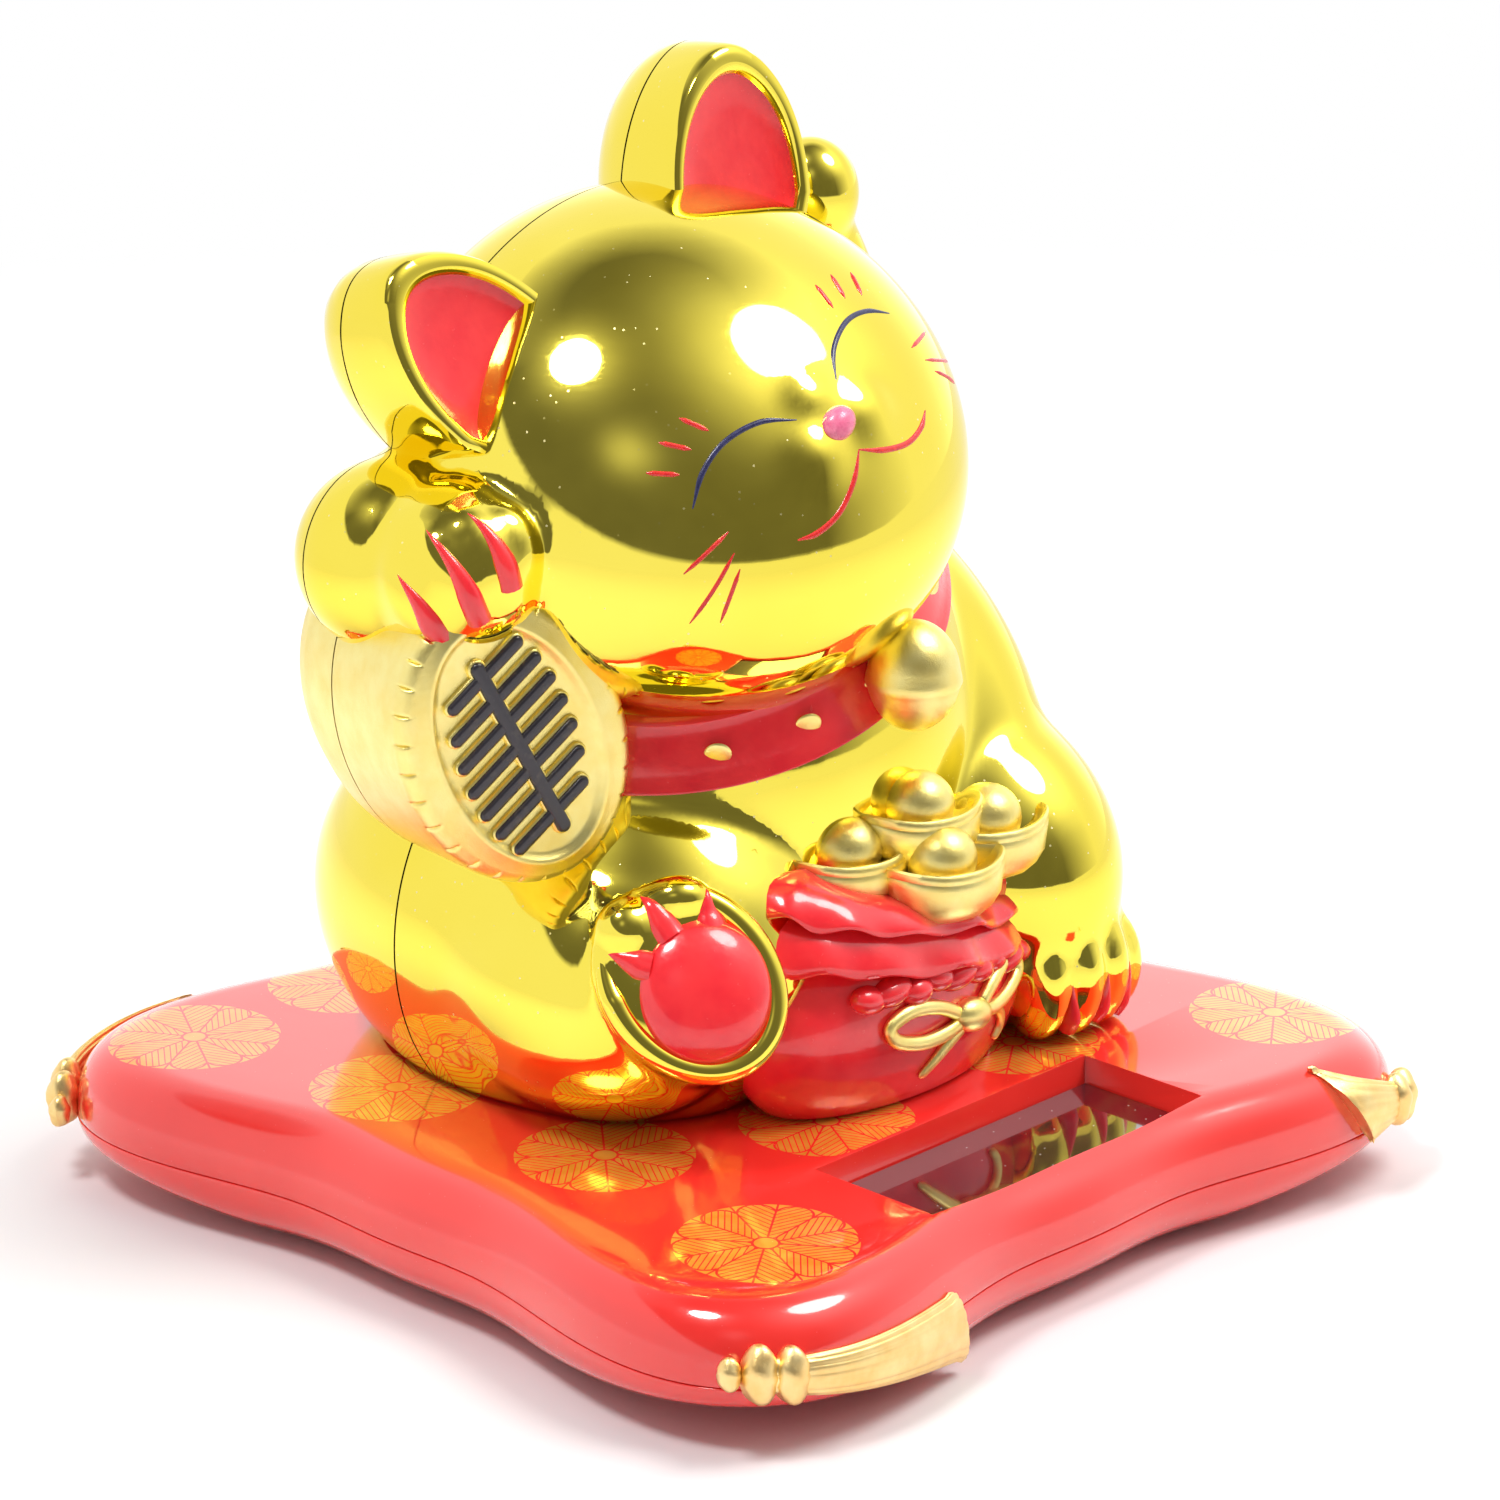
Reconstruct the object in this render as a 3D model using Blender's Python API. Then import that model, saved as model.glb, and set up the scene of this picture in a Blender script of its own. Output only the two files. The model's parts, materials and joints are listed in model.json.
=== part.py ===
"""Beckoning cat on a cushion base: a solar figurine whose left arm swings on a pin.

Units are metres, +Z is up, the cat faces -Y and its right hand is on the -X side. The origin is on the
ground, under the middle of the cushion. The cat is a hollow shell in two halves, split at SEAM_Y. A magnet
on a lever inside it swings over a coil on the board below.
"""

from math import cos, pi, radians, sin

import bmesh
import bpy
from mathutils import Euler, Matrix, Vector

# Clearances and walls
GAP = 0.0003  # between pieces that touch
FAR = 0.15  # past the whole figurine, for cuts that clear it
SHELL_WALL = 0.002
CUSHION_WALL = 0.0018

# Cushion: its outline is MEAN + CORNER cos 4a + WAIST cos 8a, with a measured from a corner
CUSHION_MEAN = 0.0555
CUSHION_CORNER = 0.0093
CUSHION_WAIST = 0.0021
PARTING_Z = 0.007
CUSHION_RISE = 0.0072
CUSHION_DROP = 0.006
CUSHION_EDGE = 0.007
CUSHION_STEPS = 4
CUSHION_SIDES = 56
FEET_HEIGHT = PARTING_Z - CUSHION_DROP
CUSHION_TOP = PARTING_Z + CUSHION_RISE
SEAT = CUSHION_TOP + GAP
FOOT_RADIUS = 0.004
FOOT_INSET = 0.0006
FOOT_REACH = 0.8  # as a share of the corner screws' distance
CORNER_POST_INSET = 0.0239  # from the cushion's corner to each corner screw
POST_RADIUS = 0.0028
SCREW_RADIUS = 0.0011
SCREW_HEAD_RADIUS = 0.0021
SCREW_HEAD_HEIGHT = 0.0012

# Solar cell in the front edge of the cushion
CELL_WIDTH = 0.0385
CELL_DEPTH = 0.0139
CELL_THICKNESS = 0.0011
CELL_MARGIN = 0.00425  # from the cushion's edge to the cell
RECESS_DEPTH = 0.003

# Circuit board, standing on the bottom shell, with the coil under the swing of the magnet
BOARD_WIDTH = 0.040
BOARD_DEPTH = 0.028
BOARD_THICKNESS = 0.0012
BOARD_LIFT = 0.0016
BOARD_X = 0.010
BOARD_Y = 0.008
CHIP_SIDE = 0.005
CHIP_HEIGHT = 0.0014
CAPACITOR_RADIUS = 0.0025
CAPACITOR_LENGTH = 0.008
COIL_RADIUS = 0.0058
COIL_CORE_RADIUS = 0.0022
COIL_HEIGHT = 0.0030
FLANGE_THICKNESS = 0.0006
LEAD_RADIUS = 0.0004
LEAD_ENDS = {"solar_lead_red": 0.0020, "solar_lead_black": 0.0055}  # from the board's right edge
LEAD_INSET = 0.00285  # from the cell's rear edge

# Swinging arm
SEAM_Y = 0.0125
PIVOT_Y = 0.0120
PIVOT_HEIGHT = 0.0420  # above the seat
SWING_X = 0.0180
PIN_RADIUS = 0.001
HUB_INNER_X = 0.0327
HUB_THICKNESS = 0.0054
HUB_RADIUS = 0.0052
SHOULDER_BOSS_RADIUS = 0.0054
ARM_RADIUS = 0.0033
ARM_NECK = 0.0026
ARM_RISE = 0.0115  # from the pin straight up, before the forearm leans in
PAW_PLACE = Vector((0.0240, 0.0125, 0.0808))  # height above the seat
PAW_RADII = (0.0047, 0.0050, 0.0056)
LEVER_WIDTH = 0.0046
LEVER_THICKNESS = 0.0024
MAGNET_RADIUS = 0.004
MAGNET_THICKNESS = 0.003
MAGNET_CLEARANCE = 0.0022  # below the magnet, over the frame's foot
FRAME_SPAN = 0.0090
FRAME_WALL = 0.002
FRAME_WIDTH = 0.0080
FRAME_FOOT_DEPTH = 0.022
FRAME_FOOT_THICKNESS = 0.0016

# Cat: middle of each rounded form above the seat, its half sizes, and its turn in degrees (X, Y, Z)
HEAD = ((-0.0067, 0.0009, 0.0626), (0.0280, 0.0283, 0.0206), (32.4, -24.4, 3.8))
TORSO = ((0.0030, 0.0080, 0.0275), (0.0300, 0.0270, 0.0340), (0, 0, 0))
SHOULDER = ((0.0175, 0.0008, 0.0294), (0.0185, 0.0140, 0.0270), (-20.8, -25.5, -36.7))
HIP_RIGHT = ((-0.0145, 0.0090, 0.0145), (0.0205, 0.0305, 0.0220), (0, 0, 0))
HIP_LEFT = ((0.0165, 0.0090, 0.0145), (0.0205, 0.0305, 0.0220), (0, 0, 0))
LEG_RIGHT = ((-0.0235, -0.0030, 0.0132), (0.0132, 0.0200, 0.0138), (0, 0, 0))
FOOT_RIGHT = ((-0.0232, -0.0165, 0.0158), (0.0122, 0.0075, 0.0113), (0, 0, -6))
THIGH_LEFT = ((0.0232, -0.0062, 0.0145), (0.0155, 0.0215, 0.0184), (0, 0, 0))
FOOT_LEFT = ((0.0262, -0.0212, 0.0050), (0.0056, 0.0078, 0.0062), (0, 0, 0))
HAND_RIGHT = ((-0.0362, 0.0098, 0.0558), (0.0093, 0.0093, 0.0093), (0, 0, 0))
FINGERS_RIGHT = ((-0.0358, 0.0015, 0.0562), (0.0084, 0.0086, 0.0084), (0, 0, 0))
WRIST_RIGHT = ((-0.0305, 0.0110, 0.0520), (0.0100, 0.0090, 0.0140), (0, 0, 0))

# Facets round and down each rounded form
HEAD_FACETS = (26, 15)
TORSO_FACETS = (24, 13)
SMALL_FACETS = (16, 9)

# Ears: each is an arch of EAR_HALF_WIDTH by EAR_HEIGHT, on a spot of the head given in head radii
EAR_HALF_WIDTH = 0.0090
EAR_HEIGHT = 0.0152
EAR_ROOT = 0.0060
EAR_DEPTH = 0.0165
EAR_RIM = 0.0012
EAR_HOLLOW = 0.0016
EAR_LINING = 0.0008
# Spot, way up and way it faces
EAR_RIGHT = ((-0.534, 0.434, 0.688), (-0.667, 0.283, 0.686), (-0.107, -0.950, 0.291))
EAR_LEFT = ((0.701, 0.332, 0.567), (0.048, 0.165, 0.985), (-0.099, -0.979, 0.169))

# Coin drum under the right hand
COIN_FACE = Vector((-0.0351, -0.0060, 0.0404))
COIN_RADII = (0.0114, 0.0150)
COIN_DEPTH = 0.0285
COIN_SEAM_DEPTH = 0.0190
COIN_SEAM_RADII = (0.0119, 0.0168)
COIN_SEAM_DROP = 0.0014
COIN_TURN = (0, -24, -18)
COIN_FIELD = 0.72  # the inner oval's share of the face
COIN_FIELD_DEPTH = 0.0004
RELIEF_HEIGHT = 0.0009
RELIEF_BAR = 0.0011

# Dress
COLLAR_PLACE = Vector((0.0050, 0.0080, 0.0467))
COLLAR_TURN = (13.7, -18, 0)
COLLAR_HEIGHT = 0.0060
COLLAR_THICKNESS = 0.0014
BELL_RADII = (0.0046, 0.0046, 0.0056)
BELL_PLACE = Vector((0.0020, -0.0212, 0.0420))
BAG_PLACE = Vector((0.0014, -0.0180, 0.0100))
BAG_RADII = (0.0204, 0.0090, 0.0125)
RUFFLE_PLACE = Vector((0.0022, -0.0195, 0.0150))
RUFFLE_RADII = (0.0188, 0.0078, 0.0038)
RUFFLE_STEP = 0.0038
INGOT_RADII = (0.0056, 0.0038, 0.0029)
INGOT_BALL = 0.0027
INGOT_TURN = (-18, 0, 8)
BOW_PLACE = Vector((0.0032, -0.0272, 0.0090))
BOW_KNOT_RADII = (0.0019, 0.0016, 0.0019)
BOW_LOOP_RADII = (0.0036, 0.0012, 0.0022)
BOW_TAIL_RADII = (0.0011, 0.0010, 0.0040)
SOLE_RADII = (0.0078, 0.0030, 0.0074)
NOSE_RADII = (0.0021, 0.0016, 0.0017)
NOSE_SPOT = (0.0, -0.52, 0.85)

INGOT_SPOTS = (
    (0.0025, -0.0011, 0.0112),
    (0.0104, -0.0027, 0.0097),
    (-0.0054, 0.0012, 0.0080),
    (0.0014, -0.0051, 0.0068),
)

# Tassels: degrees round the cushion at the knot and at the skirt's end, the end's rise and its half width
TASSELS = {
    "tassel_front_right": (227, 246.5, -0.0018, 0.0034),
    "tassel_front_left": (315, 306.5, 0.0017, 0.0048),
    "tassel_rear_right": (135, 119, 0.0034, 0.0038),
    "tassel_rear_left": (45, 66, -0.0008, 0.0034),
}
TASSEL_BALL = 0.0024
TASSEL_NECK = 0.0018
TASSEL_RISE = 0.0012
TASSEL_FLATNESS = 0.6

SMOOTH_ANGLE = radians(35)


def clear_scene():
    for old in list(bpy.data.objects):
        bpy.data.objects.remove(old, do_unlink=True)
    for old in list(bpy.data.collections):
        bpy.data.collections.remove(old)


def collection(name, hidden=False):
    new = bpy.data.collections.new(name)
    new.hide_render = hidden
    bpy.context.scene.collection.children.link(new)
    return new


def finish(name, colour, roughness, metallic):
    made = bpy.data.materials.new(name)
    made.use_nodes = True
    shader = made.node_tree.nodes["Principled BSDF"]
    shader.inputs["Base Color"].default_value = (*colour, 1)
    shader.inputs["Roughness"].default_value = roughness
    shader.inputs["Metallic"].default_value = metallic
    made.diffuse_color = (*colour, 1)
    return made


FINISHES = {
    "gold_chrome": ((0.95, 0.72, 0.10), 0.06, 1.0),
    "gold_satin": ((0.88, 0.64, 0.25), 0.38, 1.0),
    "red_gloss": ((0.85, 0.04, 0.04), 0.12, 0.0),
    "red_paint": ((0.80, 0.03, 0.04), 0.18, 0.0),
    "black_paint": ((0.03, 0.025, 0.035), 0.35, 0.0),
    "pink_paint": ((0.85, 0.25, 0.35), 0.30, 0.0),
    "cell_glass": ((0.06, 0.02, 0.03), 0.05, 0.0),
    "board": ((0.05, 0.22, 0.10), 0.5, 0.0),
    "black_plastic": ((0.03, 0.03, 0.03), 0.45, 0.0),
    "white_plastic": ((0.8, 0.8, 0.78), 0.4, 0.0),
    "copper": ((0.72, 0.35, 0.15), 0.3, 1.0),
    "steel": ((0.6, 0.6, 0.62), 0.3, 1.0),
    "magnet": ((0.5, 0.5, 0.52), 0.25, 1.0),
    "rubber": ((0.05, 0.05, 0.05), 0.8, 0.0),
    "red_lead": ((0.7, 0.03, 0.03), 0.5, 0.0),
}


def up(place):
    """A place whose height is given above the seat, in world metres."""
    return Vector((place[0], place[1], place[2] + SEAT))


def turned(degrees):
    """Turn about X first, then Y, then Z."""
    return Euler([radians(d) for d in degrees], "XYZ").to_matrix()


def new_object(name, mesh, holder):
    made = bpy.data.objects.new(name, mesh)
    holder.objects.link(made)
    return made


def helper(name, form):
    """A cutter or a shape to be joined, from a finished bmesh."""
    bmesh.ops.recalc_face_normals(form, faces=form.faces)
    mesh = bpy.data.meshes.new(name)
    form.to_mesh(mesh)
    form.free()
    made = new_object(name, mesh, CUTTERS)
    made.hide_render = True
    made.display_type = "WIRE"
    return made


def ball(place, radii, turn=None, around=24, down=12):
    """An ellipsoid with its middle at place. turn is a matrix."""
    form = bmesh.new()
    bmesh.ops.create_uvsphere(form, u_segments=around, v_segments=down, radius=1)
    matrix = Matrix.Translation(place) @ (turn or Matrix.Identity(3)).to_4x4() @ Matrix.Diagonal((*radii, 1))
    bmesh.ops.transform(form, matrix=matrix, verts=form.verts)
    return helper("ball", form)


def box(low, high):
    low, high = Vector(low), Vector(high)
    form = bmesh.new()
    bmesh.ops.create_cube(form, size=1)
    matrix = Matrix.Translation((low + high) / 2) @ Matrix.Diagonal((*(high - low), 1))
    bmesh.ops.transform(form, matrix=matrix, verts=form.verts)
    return helper("box", form)


def rod(start, end, radius, sides=12):
    """A round bar between two points."""
    start, end = Vector(start), Vector(end)
    form = bmesh.new()
    bmesh.ops.create_cone(
        form,
        cap_ends=True,
        segments=sides,
        radius1=radius,
        radius2=radius,
        depth=(end - start).length,
    )
    facing = (end - start).to_track_quat("Z", "Y").to_matrix().to_4x4()
    bmesh.ops.transform(form, matrix=Matrix.Translation((start + end) / 2) @ facing, verts=form.verts)
    return helper("rod", form)


def upright(spot, low, high, radius, sides=12):
    return rod((spot[0], spot[1], low), (spot[0], spot[1], high), radius, sides)


def loft(rings):
    """A closed body through rings of points, all with the same count, capped at both ends."""
    form = bmesh.new()
    loops = [[form.verts.new(point) for point in ring] for ring in rings]
    edges = [[form.edges.new((a, b)) for a, b in zip(ring, ring[1:] + ring[:1])] for ring in loops]
    form.faces.new(loops[0])
    form.faces.new(loops[-1])
    for lower, upper in zip(edges, edges[1:]):
        bmesh.ops.bridge_loops(form, edges=lower + upper)
    return helper("loft", form)


def limb(path, radii, sides=14):
    """A round limb that follows path, with its own radius at each point."""
    rings = []
    for number, (point, radius) in enumerate(zip(path, radii)):
        before, after = path[max(number - 1, 0)], path[min(number + 1, len(path) - 1)]
        across = (after - before).normalized().cross(Vector((0, 1, 0))).normalized()
        angles = [2 * pi * step / sides for step in range(sides)]
        rings.append([point + radius * (across * cos(a) + Vector((0, 1, 0)) * sin(a)) for a in angles])
    return loft(rings)


def wire(path, radius):
    """A round lead along path, as a closed mesh."""
    curve = bpy.data.curves.new("wire", "CURVE")
    curve.dimensions = "3D"
    curve.bevel_depth = radius
    curve.bevel_resolution = 2
    curve.use_fill_caps = True
    spline = curve.splines.new("POLY")
    spline.points.add(len(path) - 1)
    for point, place in zip(spline.points, path):
        point.co = (*place, 1)
    drawn = new_object("wire", curve, CUTTERS)
    bpy.context.view_layer.update()
    mesh = bpy.data.meshes.new_from_object(drawn.evaluated_get(bpy.context.evaluated_depsgraph_get()))
    bpy.data.objects.remove(drawn, do_unlink=True)
    form = bmesh.new()
    form.from_mesh(mesh)
    bmesh.ops.remove_doubles(form, verts=form.verts, dist=0.00001)
    return helper("wire", form)


def combine(base, operation, tools):
    """base joined with, cut by or kept inside each tool, in order; the tools are used up."""
    for tool in tools:
        step = base.modifiers.new(operation.lower(), "BOOLEAN")
        step.operation = operation
        step.solver = "EXACT"
        step.object = tool
    bpy.context.view_layer.update()
    graph = bpy.context.evaluated_depsgraph_get()
    mesh = bpy.data.meshes.new_from_object(base.evaluated_get(graph))
    base.modifiers.clear()
    base.data = mesh
    for tool in tools:
        bpy.data.objects.remove(tool, do_unlink=True)
    return base


def copy_of(original):
    made = new_object(original.name, original.data.copy(), CUTTERS)
    made.hide_render = True
    made.display_type = "WIRE"
    return made


def piece(name, shape, finish_name, origin=(0, 0, 0)):
    """Names a finished shape as a sub-part of the figurine, with its origin where it turns."""
    CUTTERS.objects.unlink(shape)
    PARTS.objects.link(shape)
    shape.name = name
    shape.data.name = name
    shape.hide_render = False
    shape.display_type = "TEXTURED"
    shape.data.transform(Matrix.Translation(-Vector(origin)))
    shape.location = origin
    shape.data.materials.clear()
    shape.data.materials.append(MATERIALS[finish_name])
    shape.data.shade_smooth()
    shape.data.set_sharp_from_angle(angle=SMOOTH_ANGLE)
    return shape


# ---------------------------------------------------------------- cushion


def side_point(angle, z, out=0.0):
    """A place on the cushion's outline, moved outwards by out, at height z."""
    corner = 4 * (angle - pi / 4)
    reach = CUSHION_MEAN + CUSHION_CORNER * cos(corner) + CUSHION_WAIST * cos(2 * corner) + out
    return Vector((reach * cos(angle), reach * sin(angle), z))


def cushion_half(height, wall=0.0, spill=0.0, steps=CUSHION_STEPS, sides=CUSHION_SIDES):
    """A full, rounded half of the cushion from the parting line up (or down, where height is negative)."""
    levels = [(wall, PARTING_Z - spill)] if spill else []
    for step in range(steps + 1):
        angle = pi / 2 * step / steps
        inset = (CUSHION_EDGE - wall * 0.5) * (1 - cos(angle) ** 0.8) + wall
        rise = sin(angle) ** 0.8 * (abs(height) - wall)
        levels.append((inset, PARTING_Z + (rise if height > 0 else -rise)))
    turns = [2 * pi * side / sides for side in range(sides)]
    return loft([[side_point(turn, z, -inset) for turn in turns] for inset, z in levels])


def corner_places():
    reach = (CUSHION_MEAN + CUSHION_CORNER + CUSHION_WAIST - CORNER_POST_INSET) / 2**0.5
    return [Vector((sx * reach, sy * reach, 0)) for sx in (-1, 1) for sy in (-1, 1)]


CELL_Y = CELL_MARGIN + CELL_DEPTH / 2 - (CUSHION_MEAN - CUSHION_CORNER + CUSHION_WAIST)
LEAD_Y = CELL_Y + CELL_DEPTH / 2 - LEAD_INSET
LEAD_X = {name: BOARD_X - BOARD_WIDTH / 2 + inset for name, inset in LEAD_ENDS.items()}
FLOOR_Z = FEET_HEIGHT + CUSHION_WALL
CEILING_Z = CUSHION_TOP - CUSHION_WALL
BOARD_Z = FLOOR_Z + BOARD_LIFT
SCREW_LENGTH = 0.0065
CAT_POST_SPOTS = ((-0.016, 0.025), (0.010, 0.026), (-0.014, -0.006), (0.013, -0.008))
CAT_POSTS = [Vector((x, y, 0)) for x, y in CAT_POST_SPOTS]
CAT_POST_HEIGHT = 0.008
WINDOW_LOW = Vector((SWING_X - FRAME_SPAN / 2 - FRAME_WALL - 0.001, PIVOT_Y - FRAME_FOOT_DEPTH / 2 - 0.001))
WINDOW_HIGH = Vector((SWING_X + FRAME_SPAN / 2 + FRAME_WALL + 0.001, PIVOT_Y + FRAME_FOOT_DEPTH / 2 + 0.001))


def make_cushion():
    top = cushion_half(CUSHION_RISE)
    top = combine(top, "DIFFERENCE", [cushion_half(CUSHION_RISE, CUSHION_WALL, 0.001, 3, 36)])
    recess_floor = CUSHION_TOP - RECESS_DEPTH - CELL_THICKNESS
    recess_low = Vector((-CELL_WIDTH / 2 - GAP, CELL_Y - CELL_DEPTH / 2 - GAP, recess_floor))
    recess_high = Vector((CELL_WIDTH / 2 + GAP, CELL_Y + CELL_DEPTH / 2 + GAP, CUSHION_TOP + 0.002))
    tub_wall = Vector((CUSHION_WALL, CUSHION_WALL, 0))
    tub = box(
        recess_low - tub_wall - Vector((0, 0, CUSHION_WALL)),
        Vector((*(recess_high + tub_wall).xy, CUSHION_TOP - CUSHION_WALL / 2)),
    )
    tub = combine(tub, "INTERSECT", [cushion_half(CUSHION_RISE)])
    posts = [
        upright(spot, FLOOR_Z + GAP, CUSHION_TOP - CUSHION_WALL / 2, POST_RADIUS) for spot in corner_places()
    ]
    top = combine(top, "UNION", [tub, *posts])
    bore_top = FEET_HEIGHT + SCREW_HEAD_HEIGHT + SCREW_LENGTH + GAP
    bores = [upright(spot, 0, bore_top, SCREW_RADIUS + GAP) for spot in corner_places()]
    cat_holes = [upright(spot, FLOOR_Z, CUSHION_TOP + 0.001, SCREW_RADIUS + GAP) for spot in CAT_POSTS]
    lead_holes = [
        upright((x, LEAD_Y), recess_floor - 0.004, recess_floor + 0.001, LEAD_RADIUS + GAP, 12)
        for x in LEAD_X.values()
    ]
    top = combine(top, "DIFFERENCE", [box(recess_low, recess_high), *bores, *cat_holes, *lead_holes])
    piece("cushion_top_shell", top, "red_gloss")

    bottom = cushion_half(-CUSHION_DROP)
    bottom = combine(bottom, "DIFFERENCE", [cushion_half(-CUSHION_DROP, CUSHION_WALL, -0.001, 3, 36)])
    lift = [
        upright((x, y), FLOOR_Z - 0.0005, BOARD_Z - GAP, 0.002, 12)
        for x in (BOARD_X - BOARD_WIDTH / 2 + 0.003, BOARD_X + BOARD_WIDTH / 2 - 0.003)
        for y in (BOARD_Y - BOARD_DEPTH / 2 + 0.003, BOARD_Y + BOARD_DEPTH / 2 - 0.003)
    ]
    bottom = combine(bottom, "UNION", lift)
    cuts = [box((-FAR, -FAR, PARTING_Z - GAP), (FAR, FAR, FAR))]
    for spot in corner_places():
        cuts.append(upright(spot, 0, FLOOR_Z + 0.001, SCREW_RADIUS + GAP))
        cuts.append(upright(spot, 0, FEET_HEIGHT + SCREW_HEAD_HEIGHT + GAP, SCREW_HEAD_RADIUS + GAP))
        cuts.append(upright(spot * FOOT_REACH, 0, FEET_HEIGHT + FOOT_INSET, FOOT_RADIUS + GAP, 20))
    bottom = combine(bottom, "DIFFERENCE", cuts)
    piece("cushion_bottom_shell", bottom, "red_gloss")

    for number, spot in enumerate(corner_places(), 1):
        foot = upright(spot * FOOT_REACH, 0, FEET_HEIGHT + FOOT_INSET - GAP, FOOT_RADIUS, 20)
        piece(f"rubber_foot_{number}", foot, "rubber")
        piece(f"base_screw_{number}", screw(spot + Vector((0, 0, FEET_HEIGHT + 0.0001))), "steel")
    return recess_low


def screw(head_place):
    """A pan-head screw standing on its head, pointing up."""
    head = rod(head_place, head_place + Vector((0, 0, SCREW_HEAD_HEIGHT)), SCREW_HEAD_RADIUS)
    shaft = rod(
        head_place + Vector((0, 0, SCREW_HEAD_HEIGHT / 2)),
        head_place + Vector((0, 0, SCREW_HEAD_HEIGHT + SCREW_LENGTH - GAP)),
        SCREW_RADIUS,
    )
    return combine(head, "UNION", [shaft])


def make_electronics(recess_low):
    cell_low = recess_low + Vector((GAP, GAP, GAP))
    cell = box(cell_low, cell_low + Vector((CELL_WIDTH, CELL_DEPTH, CELL_THICKNESS)))
    piece("solar_cell", cell, "cell_glass")
    low = Vector((BOARD_X - BOARD_WIDTH / 2, BOARD_Y - BOARD_DEPTH / 2, BOARD_Z))
    board = box(low, low + Vector((BOARD_WIDTH, BOARD_DEPTH, BOARD_THICKNESS)))
    piece("circuit_board", board, "board")
    top = BOARD_Z + BOARD_THICKNESS + GAP
    chip = Vector((BOARD_X - BOARD_WIDTH / 2 + 0.010, BOARD_Y - 0.003, top))
    piece("driver_chip", box(chip, chip + Vector((CHIP_SIDE, CHIP_SIDE, CHIP_HEIGHT))), "black_plastic")
    can = Vector((BOARD_X - BOARD_WIDTH / 2 + 0.008, BOARD_Y + 0.008, top + CAPACITOR_RADIUS))
    can_end = can + Vector((CAPACITOR_LENGTH, 0, 0))
    piece("storage_capacitor", rod(can, can_end, CAPACITOR_RADIUS), "black_plastic")
    spot = Vector((SWING_X, PIVOT_Y, top))
    rise = Vector((0, 0, FLANGE_THICKNESS))
    height = Vector((0, 0, COIL_HEIGHT))
    bobbin = combine(
        rod(spot, spot + rise, COIL_RADIUS + 0.0004, 24),
        "UNION",
        [
            rod(spot, spot + 2 * rise + height, COIL_CORE_RADIUS, 24),
            rod(spot + rise + height, spot + 2 * rise + height, COIL_RADIUS + 0.0004, 24),
        ],
    )
    piece("coil_bobbin", bobbin, "white_plastic")
    lift = Vector((0, 0, GAP))
    coil = combine(
        rod(spot + rise + lift, spot + rise + height - lift, COIL_RADIUS, 24),
        "DIFFERENCE",
        [rod(spot, spot + 3 * rise + height, COIL_CORE_RADIUS + GAP, 24)],
    )
    piece("drive_coil", coil, "copper")

    # A lead from each end of the cell, through the recess floor and back to the board
    for name, x in LEAD_X.items():
        run_z = top + 0.0014
        end_y = BOARD_Y - BOARD_DEPTH / 2 + 0.0018
        path = [(x, LEAD_Y, recess_low.z - 0.0001), (x, LEAD_Y, run_z + 0.001), (x, LEAD_Y + 0.001, run_z)]
        path += [(x, end_y - 0.001, run_z), (x, end_y, run_z - 0.001), (x, end_y, top)]
        piece(name, wire(path, LEAD_RADIUS), "red_lead" if name.endswith("red") else "black_plastic")


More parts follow.
